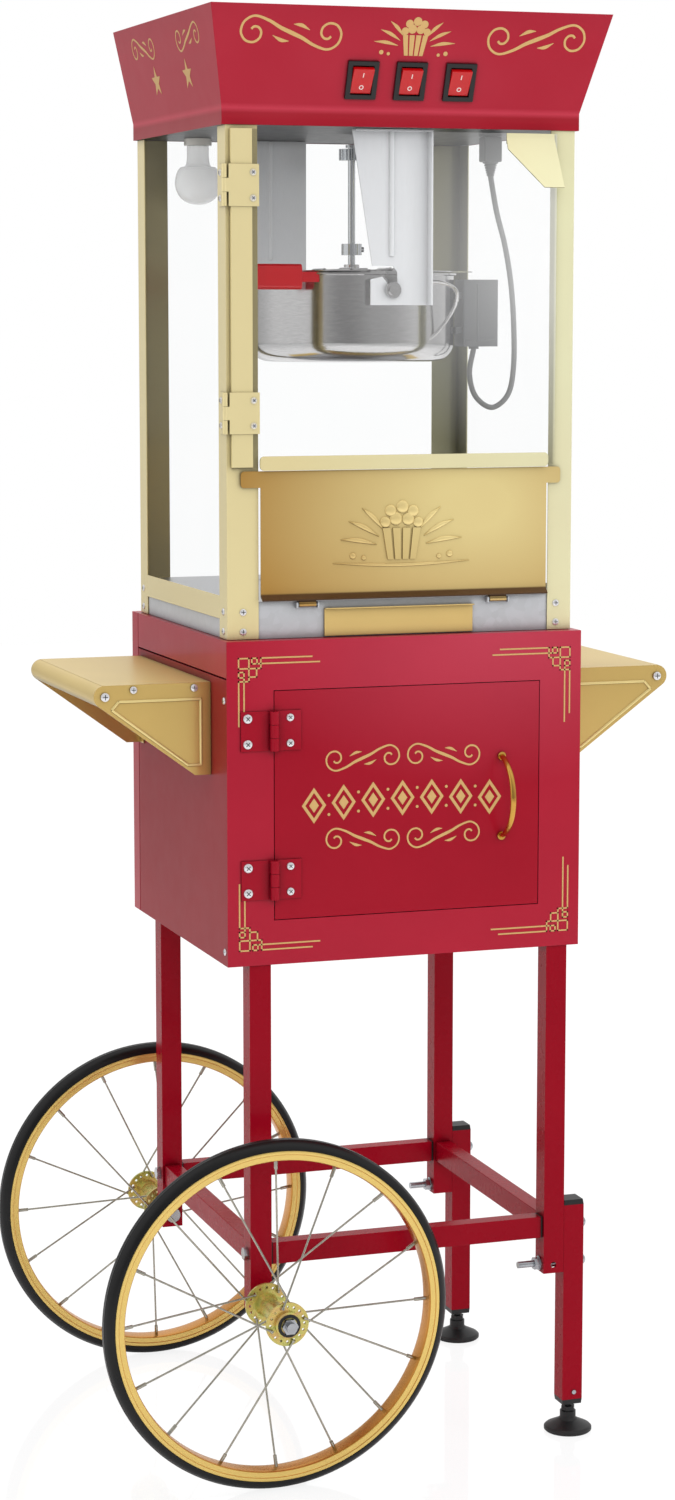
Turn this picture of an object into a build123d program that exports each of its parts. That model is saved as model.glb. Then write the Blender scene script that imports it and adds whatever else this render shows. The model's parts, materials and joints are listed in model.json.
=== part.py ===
from build123d import *
import os
from math import cos, sin, radians, pi

# Popcorn cart: a glass popper on a steel cabinet, on legs with two spoked wheels.
# Millimetres. +Z is up, the front faces -Y, left is -X. Z = 0 is the floor. The origin
# is the centre of the whole footprint, so the cabinet's centre line stands at X = xc.
# Places are measured from that centre line unless xc is added to them.

# ---------------------------------------------------------------- driving sizes
wheel_r = 203.2            # 16 in wheel
wheel_x = -175.3           # wheel axis
wheel_out = 256.5          # wheel's middle plane, from the centre
flange_gap = 38.5          # hub flange, from the wheel's middle plane
axle_tip = 314.0
shelf_reach = 351.0        # shelf nose
xc = (wheel_r - wheel_x - shelf_reach) / 2

tube = 25.4                # 1 in square tube
tube_wall = 1.5
leg_y = 185.8              # leg centres
leg_left_x = wheel_x       # the left legs carry the axles
leg_right_x = 187.3
leg_left_bottom = 188.0
leg_right_bottom = 199.0
rail_z = 255.0
lower_bolt_z = 209.0
stub_lo, stub_hi = 41.0, 280.0
foot_r = 28.5

cab_w, cab_d = 428.0, 400.0
cab_lo, cab_hi = 594.0, 963.0
cab_t = 1.5
seam_z = 920.0             # side panel below, cap above
back_wrap = 26.0           # back panel's wrap round the corner
door_x0, door_x1 = -159.0, 163.0
door_z0, door_z1 = 645.0, 907.0
door_gap = 0.8             # clearance round the cabinet door

shelf_y0, shelf_y1 = -138.0, 162.0
shelf_top = 912.0
shelf_low = 806.0
nose_r = 13.0              # rolled outer edge of a shelf

pop_x, pop_y = 207.5, 182.0   # outer faces of the corner posts
post_lo, post_hi = cab_hi + 0.4, 1531.2
post_front, post_side = 37.0, 30.0   # flange widths
post_right = 29.0          # front flange of the front right post
sheet = 1.5
base_top = 1004.0
trunk_x, trunk_z = 2.0, 1352.0   # kettle's tilt axis (along Y)
kettle_r = 120.0

os.makedirs("parts", exist_ok=True)

# ---------------------------------------------------------------- helpers
centre = Plane(origin=(xc, 0, 0))
UPRIGHT = (0, 0, 0)        # rotations that lay a cylinder along an axis
ALONG_X = (0, 90, 0)
ALONG_Y = (90, 0, 0)


def level(z):
    """Horizontal plane on the centre line."""
    return centre.offset(z)


def front_plane(y, x=0):
    """Plane facing the front: its X is the cart's X, its Y is up."""
    return Plane(origin=(xc + x, y, 0), x_dir=(1, 0, 0), z_dir=(0, -1, 0))


def side_plane(x):
    """Plane facing right: its X is the cart's Y, its Y is up."""
    return Plane(origin=(xc + x, 0, 0), x_dir=(0, 1, 0), z_dir=(1, 0, 0))


def block(size, *places, mode=Mode.ADD):
    """A box of one size centred on each place."""
    with Locations(*places):
        Box(*size, mode=mode)


def slab(x, y, z, mode=Mode.ADD):
    """A box given by its (low, high) range on each axis."""
    place = tuple((low + high) / 2 for low, high in (x, y, z))
    block((x[1] - x[0], y[1] - y[0], z[1] - z[0]), place, mode=mode)


def rod(radius, length, rotation, *places, mode=Mode.ADD):
    """A cylinder centred on each place."""
    with Locations(*places):
        Cylinder(radius, length, rotation=rotation, mode=mode)


def save(part, name):
    part.label = name
    export_step(part, "parts/" + name + ".step")


# ---------------------------------------------------------------- undercarriage
leg_top = cab_lo - 0.2
tube_bore = tube - 2 * tube_wall
bolt_hole_r = 4.1

with BuildPart(centre) as legs:
    for x, bottom in ((leg_left_x, leg_left_bottom), (leg_right_x, leg_right_bottom)):
        for y in (-leg_y, leg_y):
            middle = (x, y, (bottom + leg_top) / 2)
            block((tube, tube, leg_top - bottom), middle)
            block((tube_bore, tube_bore, cab_lo), middle, mode=Mode.SUBTRACT)
    rod(6.05, tube + 2, ALONG_Y, (leg_left_x, -leg_y, wheel_r), (leg_left_x, leg_y, wheel_r),
        mode=Mode.SUBTRACT)
    for end in (-1, 1):
        y = end * leg_y
        rod(bolt_hole_r, tube + 2, ALONG_X, (leg_left_x, y, rail_z), (leg_right_x, y, rail_z),
            (leg_right_x, y, lower_bolt_z), mode=Mode.SUBTRACT)
        rod(3.5, 6, ALONG_Y, (leg_right_x, y + end * tube / 2, lower_bolt_z), mode=Mode.SUBTRACT)
save(legs.part, "legs")

rail_t = 20.0              # rails are tube high and this thick
rail_bore = rail_t - 3
rail_x0 = leg_left_x + tube / 2 + 2.2
rail_x1 = leg_right_x - tube / 2 - 2.2
rail_y = leg_y - 1
with BuildPart(centre) as lower_rails:
    rail_l = rail_x1 - rail_x0
    for y in (-rail_y, rail_y):
        middle = ((rail_x0 + rail_x1) / 2, y, rail_z)
        block((rail_l, rail_t, tube), middle)
        block((rail_l + 4, rail_bore, tube - 3), middle, mode=Mode.SUBTRACT)
    for x in (leg_left_x, leg_right_x):
        block((rail_t, 2 * leg_y - tube - 0.4, tube), (x, 0, rail_z))
        block((rail_bore, 2 * leg_y, tube - 3), (x, 0, rail_z), mode=Mode.SUBTRACT)
save(lower_rails.part, "lower_rails")

# Stub legs stand against the right legs' outer sides.
stub_x = leg_right_x + tube
stub_mid = stub_x + 0.1
stub_w = tube - 0.2
with BuildPart(centre) as stub_legs:
    for y in (-leg_y, leg_y):
        middle = (stub_mid, y, (stub_lo + stub_hi) / 2)
        block((stub_w, tube, stub_hi - stub_lo), middle)
        block((tube_bore, tube_bore, stub_hi), middle, mode=Mode.SUBTRACT)
        rod(bolt_hole_r, tube + 2, ALONG_X, (stub_x, y, rail_z), (stub_x, y, lower_bolt_z),
            mode=Mode.SUBTRACT)
save(stub_legs.part, "stub_legs")

# Black plastic: caps on both ends of each stub leg, plugs in the long rails' ends.
with BuildPart(centre) as tube_caps:
    for y in (-leg_y, leg_y):
        for z, rise, taper in ((stub_hi, 6, 8), (stub_lo, -6, 6)):
            with BuildSketch(level(z)):
                with Locations((stub_mid, y)):
                    Rectangle(stub_w, tube)
            extrude(amount=rise, taper=taper)
        block((tube - 3.2, tube - 3.2, 14), (stub_mid, y, stub_hi - 6), (stub_mid, y, stub_lo + 7))
        rod(4.05, 60, UPRIGHT, (stub_mid, y, stub_lo), mode=Mode.SUBTRACT)
    for end in (-1, 1):
        for x in (rail_x0 - 1.05, rail_x1 + 1.05):
            block((2, rail_t - 0.4, tube - 0.4), (x, end * rail_y, rail_z))
            rod(bolt_hole_r, 6, ALONG_X, (x, end * leg_y, rail_z), mode=Mode.SUBTRACT)
save(tube_caps.part, "tube_caps")

# Bolts: hex bolts into the left legs, carriage bolts through stub and right leg.
bolt_r, hex_r, dome_r = 4.0, 7.5, 7.5
leg_left_face = leg_left_x - tube / 2
leg_right_face = leg_right_x - tube / 2    # inner side of the right legs
stub_face = stub_x + tube / 2
with BuildPart(centre) as frame_bolts:
    for end in (-1, 1):
        y = end * leg_y
        with BuildSketch(side_plane(leg_left_face - 0.05)):
            with Locations((y, rail_z)):
                RegularPolygon(hex_r, 6)
        extrude(amount=-5.3)
        rod(bolt_r, tube + 8, ALONG_X, (leg_left_x, y, rail_z))
        # domed heads
        for z in (rail_z, lower_bolt_z):
            head = stub_face + 0.05
            with Locations((head, y, z)):
                Sphere(dome_r)
            block((2 * dome_r, 16, 16), (head - dome_r, y, z), mode=Mode.SUBTRACT)
        # shanks, with the length that shows past the right leg
        for z, tail in ((rail_z, 4), (lower_bolt_z, 28)):
            x0, x1 = leg_right_face - tail, stub_face + 1
            rod(bolt_r, x1 - x0, ALONG_X, ((x0 + x1) / 2, y, z))
        # washer and nut
        with BuildSketch(side_plane(leg_right_face - 0.05)):
            with Locations((y, lower_bolt_z)):
                Circle(8.5)
        extrude(amount=-1.6)
        with BuildSketch(side_plane(leg_right_face - 1.65)):
            with Locations((y, lower_bolt_z)):
                RegularPolygon(hex_r, 6)
        extrude(amount=-6.5)
        rod(2.6, 1.3, ALONG_Y, (stub_x + 2, end * (leg_y + tube / 2 + 0.7), stub_lo + 9))
save(frame_bolts.part, "frame_bolts")


def build_foot(name, y):
    """Screw-in levelling foot: turned pad, hex and threaded rod."""
    neck_r, neck_top = 9.5, 24
    with BuildPart(centre) as foot:
        with BuildSketch(front_plane(y, stub_mid)):
            with BuildLine():
                Polyline((0, 0), (foot_r - 1.5, 0), (foot_r, 1.5), (foot_r, 4.5),
                         (foot_r - 2, 6.5), (12, 13.5), (neck_r, 16), (neck_r, neck_top),
                         (0, neck_top), (0, 0))
            make_face()
        revolve(axis=Axis((xc + stub_mid, y, 0), (0, 0, 1)))
        with BuildSketch(level(neck_top)):
            with Locations((stub_mid, y)):
                RegularPolygon(8.5, 6)
        extrude(amount=6)
        rod(4, 40, UPRIGHT, (stub_mid, y, 44))
    save(foot.part, name)


build_foot("foot_front", -leg_y)
build_foot("foot_rear", leg_y)

# ---------------------------------------------------------------- wheels
# Solid rubber tyre, channel rim, sixteen laced spokes, flanged hub.
spoke_count = 16
spoke_circle = 20.0        # radius of the spoke holes in the hub flanges
spoke_lead = 40            # degrees a spoke's hub end runs ahead of its rim end

# Closed half sections: (radius, distance along the axle).
RIM_SECTION = (
    (180.6, -10), (181.4, -12.4), (192.0, -13.2), (192.0, -11.0), (183.8, -9.9), (183.8, 9.9),
    (192.0, 11.0), (192.0, 13.2), (181.4, 12.4), (180.6, 10), (180.0, 0), (180.6, -10))
HUB_SECTION = (
    (6.06, -46), (13, -46), (15, -44.5), (15, -40), (25, -40), (25, -37), (14, -37), (11.5, -30),
    (11.5, 30), (14, 37), (25, 37), (25, 40), (15, 40), (15, 44.5), (13, 46), (6.06, 46),
    (6.06, -46))


def build_spoke(rim_point, hub_point):
    """Turned wire with a thick nipple at the rim and a head at the hub."""
    run = hub_point - rim_point
    wire_r, nipple_r, head_r = 1.15, 2.1, 1.9
    head_start, head_end = run.length - 1.4, run.length + 1.4
    with BuildPart() as spoke:
        with BuildSketch(Plane(origin=rim_point, x_dir=run, z_dir=run.cross(Vector(0, 1, 0)))):
            with BuildLine():
                Polyline((0, 0), (0, nipple_r), (15, nipple_r), (15, wire_r),
                         (head_start, wire_r), (head_start, head_r), (head_end, head_r),
                         (head_end, 0), (0, 0))
            make_face()
        revolve(axis=Axis(rim_point, run))
    return spoke.part.solid()


def build_wheel(name, end):
    """The four pieces of one wheel; end is -1 at the front, 1 at the rear."""
    mid_x, mid_y, mid_z = mid = (xc + wheel_x, end * wheel_out, wheel_r)
    axis = Axis(mid, (0, 1, 0))
    section = Plane(origin=mid, x_dir=(1, 0, 0), z_dir=(0, 0, 1))   # X radial, Y along axle

    with BuildPart() as tyre:
        with BuildSketch(section):
            with BuildLine():
                Polyline((192.1, 13.7), (192.1, 10.8), (184.3, 9.6), (184.3, -9.6),
                         (192.1, -10.8), (192.1, -13.7))
                ThreePointArc((192.1, -13.7), (wheel_r, 0), (192.1, 13.7))
            make_face()
        revolve(axis=axis)
    save(tyre.part, "tyre_" + name)

    with BuildPart() as rim:
        with BuildSketch(section):
            with BuildLine():
                Polyline(*RIM_SECTION)
            make_face()
        revolve(axis=axis)
    save(rim.part, "rim_" + name)

    with BuildPart() as hub:
        with BuildSketch(section):
            with BuildLine():
                Polyline(*HUB_SECTION)
            make_face()
        revolve(axis=axis)
        with BuildSketch(Plane(origin=(mid_x, mid_y - 60, mid_z), x_dir=(1, 0, 0),
                               z_dir=(0, -1, 0))):
            with PolarLocations(spoke_circle, spoke_count):
                Circle(1.6)
        extrude(amount=-120, mode=Mode.SUBTRACT)
    save(hub.part, "hub_" + name)

    spokes = []
    for k in range(spoke_count):
        rim_angle = radians(360 / spoke_count * k)
        hub_side = end if k % 2 else -end
        lead = 1 if (k // 2) % 2 else -1
        hub_angle = rim_angle + radians(spoke_lead) * lead
        rim_point = Vector(mid_x + 182.2 * cos(rim_angle), mid_y + hub_side * 2.5,
                           mid_z + 182.2 * sin(rim_angle))
        # leading spokes sit outside the flange, trailing ones inside
        hub_point = Vector(mid_x + spoke_circle * cos(hub_angle),
                           mid_y + hub_side * (flange_gap + lead * 4.2),
                           mid_z + spoke_circle * sin(hub_angle))
        spokes.append(build_spoke(rim_point, hub_point))
    save(Compound(spokes), "spokes_" + name)


build_wheel("front", -1)
build_wheel("rear", 1)

# Axles, each with its lock nuts and cones.
axle_root = 168.0
with BuildPart(centre) as wheel_axles:
    for end in (-1, 1):
        rod(6, axle_tip - axle_root, ALONG_Y, (wheel_x, end * (axle_tip + axle_root) / 2, wheel_r))
        # hex nuts: (inner face, thickness, radius)
        for y, thickness, radius in ((198.7, 7.0, 10.5), (303.6, 4.6, 9.5)):
            with BuildSketch(front_plane(end * y)):
                with Locations((wheel_x, wheel_r)):
                    RegularPolygon(radius, 6)
            extrude(amount=-end * thickness)
        # round collars: (middle, thickness, radius)
        for y, thickness, radius in ((303.2, 0.8, 8.5), (207.9, 4.6, 8.5), (171, 3, 9)):
            rod(radius, thickness, ALONG_Y, (wheel_x, end * y, wheel_r))
save(wheel_axles.part, "wheel_axles")

# ---------------------------------------------------------------- cabinet
half_w, half_d = cab_w / 2, cab_d / 2
skin_x = half_w - cab_t / 2                  # mid-thickness of the side skins
inner_w = cab_w - 2 * cab_t - 0.2
inner_d = cab_d - 2 * cab_t - 0.2
side_y0 = -half_d + cab_t + 0.1              # side panels run between front and back wrap
side_y1 = half_d - back_wrap - 2
side_l = side_y1 - side_y0
side_mid = (side_y0 + side_y1) / 2
cab_h = cab_hi - cab_lo
cab_mid_z = (cab_lo + cab_hi) / 2
door_mid = ((door_x0 + door_x1) / 2, (door_z0 + door_z1) / 2)
opening_w, opening_h = door_x1 - door_x0, door_z1 - door_z0
door_w, door_h = opening_w - 2 * door_gap, opening_h - 2 * door_gap

with BuildPart(centre) as cabinet_floor:
    block((inner_w, inner_d, cab_t), (0, 0, cab_lo + cab_t / 2))
save(cabinet_floor.part, "cabinet_floor")

with BuildPart(centre) as cabinet_front:
    with BuildSketch(front_plane(-half_d)):
        with Locations((0, cab_mid_z)):
            Rectangle(cab_w, cab_h)
        with Locations(door_mid):
            Rectangle(opening_w, opening_h, mode=Mode.SUBTRACT)
    extrude(amount=-cab_t)
    # inward flange round the door opening
    with BuildSketch(front_plane(-half_d + cab_t)):
        with Locations(door_mid):
            Rectangle(opening_w + 2 * cab_t, opening_h + 2 * cab_t)
            Rectangle(opening_w, opening_h, mode=Mode.SUBTRACT)
    extrude(amount=-14)
save(cabinet_front.part, "cabinet_front")

for name, hand in (("cabinet_left", -1), ("cabinet_right", 1)):
    with BuildPart(centre) as panel:
        block((cab_t, side_l, seam_z - cab_lo), (hand * skin_x, side_mid, (cab_lo + seam_z) / 2))
        # inward lip along the top
        block((10, side_l, 1.5), (hand * (half_w - cab_t - 5), side_mid, seam_z - 0.75))
    save(panel.part, name)

with BuildPart(centre) as cabinet_back:
    block((cab_w, cab_t, cab_h), (0, half_d - cab_t / 2, cab_mid_z))
    block((cab_t, back_wrap, cab_h),
          *[(x, half_d - back_wrap / 2, cab_mid_z) for x in (-skin_x, skin_x)])
save(cabinet_back.part, "cabinet_back")

with BuildPart(centre) as cabinet_top:
    lid_z = cab_hi - cab_t / 2
    cap_lo = seam_z + 2
    block((inner_w, inner_d, cab_t), (0, 0, lid_z))
    block((cab_t, side_l, cab_hi - cap_lo),
          *[(x, side_mid, (cab_hi + cap_lo) / 2) for x in (-skin_x, skin_x)])
    block((cab_t * 2, side_l, cab_t),
          (-half_w + cab_t, side_mid, lid_z), (half_w - cab_t, side_mid, lid_z))
save(cabinet_top.part, "cabinet_top")

with BuildPart(centre) as cabinet_door:
    with BuildSketch(front_plane(-half_d)):
        with Locations(door_mid):
            Rectangle(door_w, door_h)
    extrude(amount=-cab_t)
    with BuildSketch(front_plane(-half_d + cab_t)):
        with Locations(door_mid):
            Rectangle(door_w, door_h)
            Rectangle(door_w - 2 * cab_t, door_h - 2 * cab_t, mode=Mode.SUBTRACT)
    extrude(amount=-11)
save(cabinet_door.part, "cabinet_door")

# Bow handle: an elliptical bar with a round foot at each end, cut flush at the door's face.
handle_x = 116
handle_z0, handle_z1 = 728, 821
handle_mid_z = (handle_z0 + handle_z1) / 2
with BuildPart() as door_handle:
    with BuildLine(side_plane(handle_x)) as bow:
        ThreePointArc((-half_d - 0.1, handle_z0), (-half_d - 38, handle_mid_z),
                      (-half_d - 0.1, handle_z1))
    with BuildSketch(Plane(origin=bow.line @ 0, x_dir=(1, 0, 0), z_dir=bow.line % 0)):
        Ellipse(3.4, 2.6)
    sweep()
    rod(4.8, 2, ALONG_Y, (xc + handle_x, -half_d - 1.1, handle_z0),
        (xc + handle_x, -half_d - 1.1, handle_z1))
    block((30, 10, 130), (xc + handle_x, -half_d + 5, handle_mid_z), mode=Mode.SUBTRACT)
save(door_handle.part, "door_handle")

# Cabinet hinges: upper and lower, each a fixed leaf with pin and a door leaf.
cab_hinge_x, cab_hinge_y = -160.0, -206.0    # hinge axis
cab_hinge_zs = (861.5, 692)
cab_leaf_h = 45
cab_knuckle_r, cab_knuckle_h = 5.2, 14.6
leaf_y, leaf_screw_y = -half_d - 0.8, -half_d - 2.2
with BuildPart(centre) as cabinet_hinge_leaves:
    for z in cab_hinge_zs:
        block((34, 1.5, cab_leaf_h), (-181, leaf_y, z))
        for dz in (-15, 15):
            block((6, 2.5, cab_knuckle_h), (-162, -half_d - 1.3, z + dz))
            rod(cab_knuckle_r, cab_knuckle_h, UPRIGHT, (cab_hinge_x, cab_hinge_y, z + dz))
        rod(1.5, 46, UPRIGHT, (cab_hinge_x, cab_hinge_y, z))
        rod(3.4, 1.6, ALONG_Y, (-190, leaf_screw_y, z + 14.5), (-190, leaf_screw_y, z - 14.5))
save(cabinet_hinge_leaves.part, "cabinet_hinge_leaves")

with BuildPart(centre) as door_hinge_leaves:
    for z in cab_hinge_zs:
        block((28.5, 1.5, cab_leaf_h), (-141.25, leaf_y, z))
        block((6, 2.5, cab_knuckle_h), (-157, -half_d - 1.3, z))
        rod(cab_knuckle_r, cab_knuckle_h, UPRIGHT, (cab_hinge_x, cab_hinge_y, z))
        rod(1.55, 60, UPRIGHT, (cab_hinge_x, cab_hinge_y, z), mode=Mode.SUBTRACT)
        rod(3.4, 1.6, ALONG_Y, (-140, leaf_screw_y, z + 14.5), (-140, leaf_screw_y, z - 14.5))
save(door_hinge_leaves.part, "door_hinge_leaves")

# ---------------------------------------------------------------- side shelves
nose_x, nose_z = shelf_reach - nose_r, shelf_top - nose_r
shelf_inset = 1.7          # shelf ends, inside the brackets
for name, hand in (("shelf_left", -1), ("shelf_right", 1)):
    with BuildPart() as shelf:
        # section across the shelf: flat plate, rolled nose, short inner flange
        with BuildSketch(front_plane(shelf_y0 + shelf_inset)):
            with Locations((hand * (half_w + 0.3 + (nose_x - half_w) / 2), shelf_top - 0.75)):
                Rectangle(nose_x - half_w, 1.5)
            with Locations((hand * nose_x, nose_z)):
                Circle(nose_r)
                Circle(11.4, mode=Mode.SUBTRACT)
            with Locations((hand * (shelf_reach - 20), shelf_top - 15.6)):
                Rectangle(14, 28, mode=Mode.SUBTRACT)
            with Locations((hand * (shelf_reach - 17), shelf_top - 0.75)):
                Rectangle(14, 1.5)
            with Locations((hand * (half_w + 1.05), shelf_top - 9)):
                Rectangle(1.5, 18)
        extrude(amount=-(shelf_y1 - shelf_y0 - 2 * shelf_inset))
    save(shelf.part, name)

with BuildPart(centre) as shelf_brackets:
    wall_x = half_w + 0.4
    flange_top = shelf_top - 20
    for hand in (-1, 1):
        for y, outward in ((shelf_y0, -1), (shelf_y1, 1)):
            with BuildSketch(front_plane(y)):
                with BuildLine():
                    Polyline((hand * wall_x, shelf_top), (hand * nose_x, shelf_top),
                             (hand * (shelf_reach - 6), shelf_top - 24),
                             (hand * (half_w + 19), shelf_low),
                             (hand * wall_x, shelf_low), (hand * wall_x, shelf_top))
                make_face()
                with Locations((hand * nose_x, nose_z)):
                    Circle(nose_r)
            extrude(amount=outward * 1.5)
            # flange against the cabinet's side
            block((1.5, 16, flange_top - shelf_low),
                  (hand * (half_w + 1.15), y - outward * 8, (flange_top + shelf_low) / 2))
save(shelf_brackets.part, "shelf_brackets")

# ---------------------------------------------------------------- popper case
pan_x, pan_y = pop_x - sheet - 0.1, pop_y - sheet - 0.1   # outer faces of the base pan
pan_t = 1.2
panel_x0, panel_x1 = -169.0, 175.0     # drop panel, between the front posts
panel_tabs = (-114, 116)
panel_axis_y, panel_axis_z = -pan_y - 4.2, 1001.0

with BuildPart(centre) as base_pan:
    wall_h, wall_z = base_top - post_lo, (post_lo + base_top) / 2
    edge_x, edge_y = pan_x - pan_t / 2, pan_y - pan_t / 2
    block((2 * pan_x, 2 * pan_y, pan_t), (0, 0, post_lo + pan_t / 2))
    block((pan_t, 2 * pan_y, wall_h), (-edge_x, 0, wall_z), (edge_x, 0, wall_z))
    block((2 * pan_x, pan_t, wall_h), (0, -edge_y, wall_z), (0, edge_y, wall_z))
    # mouth for the crumb tray
    slab((-84, 84), (-pan_y - 4, -pan_y + 4), (post_lo + pan_t, 992), mode=Mode.SUBTRACT)
    # hinge lugs and pins for the drop panel
    for x in panel_tabs:
        for dx in (-12.5, 12.5):
            block((2, 7, 6), (x + dx, -pan_y - 3.4, 1000.5))
        rod(1.4, 27, ALONG_X, (x, panel_axis_y, panel_axis_z))
save(base_pan.part, "base_pan")

with BuildPart(centre) as base_side_rails:
    between_posts = 2 * (pop_y - post_side) - 0.4
    for x in (-pop_x + sheet / 2, pop_x - sheet / 2):
        block((sheet, between_posts, 26), (x, 0, 998))
        block((sheet, between_posts, 1), (x, 0, 1010.5))
save(base_side_rails.part, "base_side_rails")

with BuildPart(centre) as corner_posts:
    post_h, post_z = post_hi - post_lo, (post_lo + post_hi) / 2
    for hand in (-1, 1):
        for end in (-1, 1):
            flange = post_right if hand > 0 and end < 0 else post_front
            block((flange, sheet, post_h),
                  (hand * (pop_x - flange / 2), end * (pop_y - sheet / 2), post_z))
            block((sheet, post_side, post_h),
                  (hand * (pop_x - sheet / 2), end * (pop_y - post_side / 2), post_z))
save(corner_posts.part, "corner_posts")

with BuildPart(centre) as deck_plate:
    block((2 * pan_x, 2 * pan_y, 1.2), (0, 0, base_top + 0.7))
    with BuildSketch(level(base_top - 1)):
        with GridLocations(26, 26, 7, 9):
            Circle(4.5)
    extrude(amount=4, mode=Mode.SUBTRACT)
save(deck_plate.part, "deck_plate")

with BuildPart(centre) as fixed_glass:
    glass_t = 3
    glass_lo = base_top + 2
    glass_h, glass_z = post_hi - glass_lo, (glass_lo + post_hi) / 2
    for x in (-pop_x + sheet + 1.7, pop_x - sheet - 1.7):
        block((glass_t, 2 * (pop_y - sheet - 0.3), glass_h), (x, 0, glass_z))
    block((2 * (pop_x - sheet - 3.6), glass_t, glass_h), (0, pop_y - sheet - 1.7, glass_z))
save(fixed_glass.part, "fixed_glass")

with BuildPart(centre) as crumb_tray:
    block((164, 326, 24), (0, -14, 977.4))
    block((161.6, 323.6, 30), (0, -14, 981.6), mode=Mode.SUBTRACT)
    # thick front wall, front plate and pull lip
    block((164, 5.2, 24), (0, -178.4, 977.4))
    block((179, 2.4, 32), (-3.5, -pan_y - 1.5, 980.5))
    block((179, 8.2, 1.2), (-3.5, -pan_y - 4.4, 995.9))
save(crumb_tray.part, "crumb_tray")

with BuildPart(centre) as drop_panel:
    panel_w = panel_x1 - panel_x0
    panel_lo, panel_hi = 1011, 1151.5
    with BuildSketch(front_plane(-184)):
        with Locations(((panel_x0 + panel_x1) / 2, (panel_lo + panel_hi) / 2)):
            Rectangle(panel_w, panel_hi - panel_lo)
        with Locations((0, 1142.2)):
            RectangleRounded(384, 18.5, 4)
    extrude(amount=1.5)
    # lower lip, turned out and down
    with BuildSketch(side_plane(panel_x0)):
        with BuildLine():
            Polyline((-184, 1013), (-185.5, 1013), (-192, 1007.5), (-191, 1006),
                     (-184, panel_lo), (-184, 1013))
        make_face()
    extrude(amount=panel_w)
    # hinge tabs with bored knuckles
    for x in panel_tabs:
        block((20, 1.6, 9.5), (x, panel_axis_y - 0.8, 1007))
        rod(2.6, 20, ALONG_X, (x, panel_axis_y, panel_axis_z))
        rod(1.45, 40, ALONG_X, (x, panel_axis_y, panel_axis_z), mode=Mode.SUBTRACT)
save(drop_panel.part, "drop_panel")

# Glass door with its stile, bottom bar and corner pull.
glass_door_top = 1527
with BuildPart(centre) as glass_door_pane:
    slab((-201.3, 184), (-187, -183), (1154.2, glass_door_top))
save(glass_door_pane.part, "glass_door_pane")

with BuildPart(centre) as glass_door_stile:
    slab((-203.1, -178.5), (-188.55, -187.05), (1156, glass_door_top))
    slab((-203.1, -201.6), (-188.3, -183.3), (1156, glass_door_top))
save(glass_door_stile.part, "glass_door_stile")

with BuildPart(centre) as glass_door_trim:
    with BuildSketch(front_plane(-187.05)):
        with Locations((2.5, 1160)):
            RectangleRounded(346, 16, 5)
    extrude(amount=2.2)
    block((336, 6, 1.9), (2.5, -185.8, 1153.1))
    # corner pull, leaning out towards its lower end
    pull_x0, pull_x1, pull_y = 122, 180, -187.1
    with BuildSketch(front_plane(pull_y)):
        with BuildLine():
            Polyline((pull_x0, glass_door_top), (pull_x1, glass_door_top), (pull_x1, 1515),
                     (pull_x0, 1515), (pull_x0, glass_door_top))
        make_face()
    extrude(amount=1.5)
    with BuildSketch(Plane(origin=(xc, pull_y, 1520), x_dir=(1, 0, 0), z_dir=(0, -0.928, 0.371))):
        with BuildLine():
            Polyline((pull_x0, 4), (pull_x1, 4), (184, -58), (160, -58), (pull_x0, -12),
                     (pull_x0, 4))
        make_face()
    extrude(amount=1.5)
    block((120, 8, 120), (150, pull_y + 4, 1500), mode=Mode.SUBTRACT)
save(glass_door_trim.part, "glass_door_trim")

glass_hinge_x, glass_hinge_y = -210.5, -187.5    # glass door's hinge axis
glass_hinge_zs = (1465.5, 1216)
glass_leaf_h, glass_knuckle_h = 46, 15
with BuildPart(centre) as glass_hinge_plates:
    for z in glass_hinge_zs:
        plate_x, screw_x = -pop_x - 0.8, -pop_x - 2.2
        block((1.5, 24, glass_leaf_h), (plate_x, -172, z))
        block((1.5, 3, glass_knuckle_h), (plate_x, -185, z + 15.4), (plate_x, -185, z - 15.4))
        for dz in (-15.4, 15.4):
            rod(3, glass_knuckle_h, UPRIGHT, (glass_hinge_x, glass_hinge_y, z + dz))
        rod(1.4, 46, UPRIGHT, (glass_hinge_x, glass_hinge_y, z))
        rod(3.2, 1.6, ALONG_X, (screw_x, -168, z + 14), (screw_x, -168, z - 14))
save(glass_hinge_plates.part, "glass_hinge_plates")

with BuildPart(centre) as glass_hinge_leaves:
    for z in glass_hinge_zs:
        block((35, 1.5, glass_leaf_h), (-188.5, -189.35, z))
        block((-204 - glass_hinge_x, 1.5, glass_knuckle_h), ((glass_hinge_x - 204) / 2, -189.35, z))
        rod(3, glass_knuckle_h, UPRIGHT, (glass_hinge_x, glass_hinge_y, z))
        rod(1.45, 60, UPRIGHT, (glass_hinge_x, glass_hinge_y, z), mode=Mode.SUBTRACT)
        rod(3.2, 1.6, ALONG_Y, (-178, -190.8, z + 14), (-178, -190.8, z - 14))
save(glass_hinge_leaves.part, "glass_hinge_leaves")

# ---------------------------------------------------------------- marquee
marquee_lo, marquee_mid, marquee_hi = 1531.0, 1550.0, 1658.0
neck_w, neck_d = 424, 368
crown_w, crown_d, crown_y = 471, 410, -19
marquee_t = 1.5
# the sloping front face; its Y runs up the face, its Z points out
slope = Plane(origin=(xc, -neck_d / 2, marquee_mid), x_dir=(1, 0, 0), z_dir=(0, -0.9377, -0.3473))
switches = {"left": -54, "middle": 3, "right": 61.5}   # X of each switch
switch_rise = 33.6         # switch centres, up the slope

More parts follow.
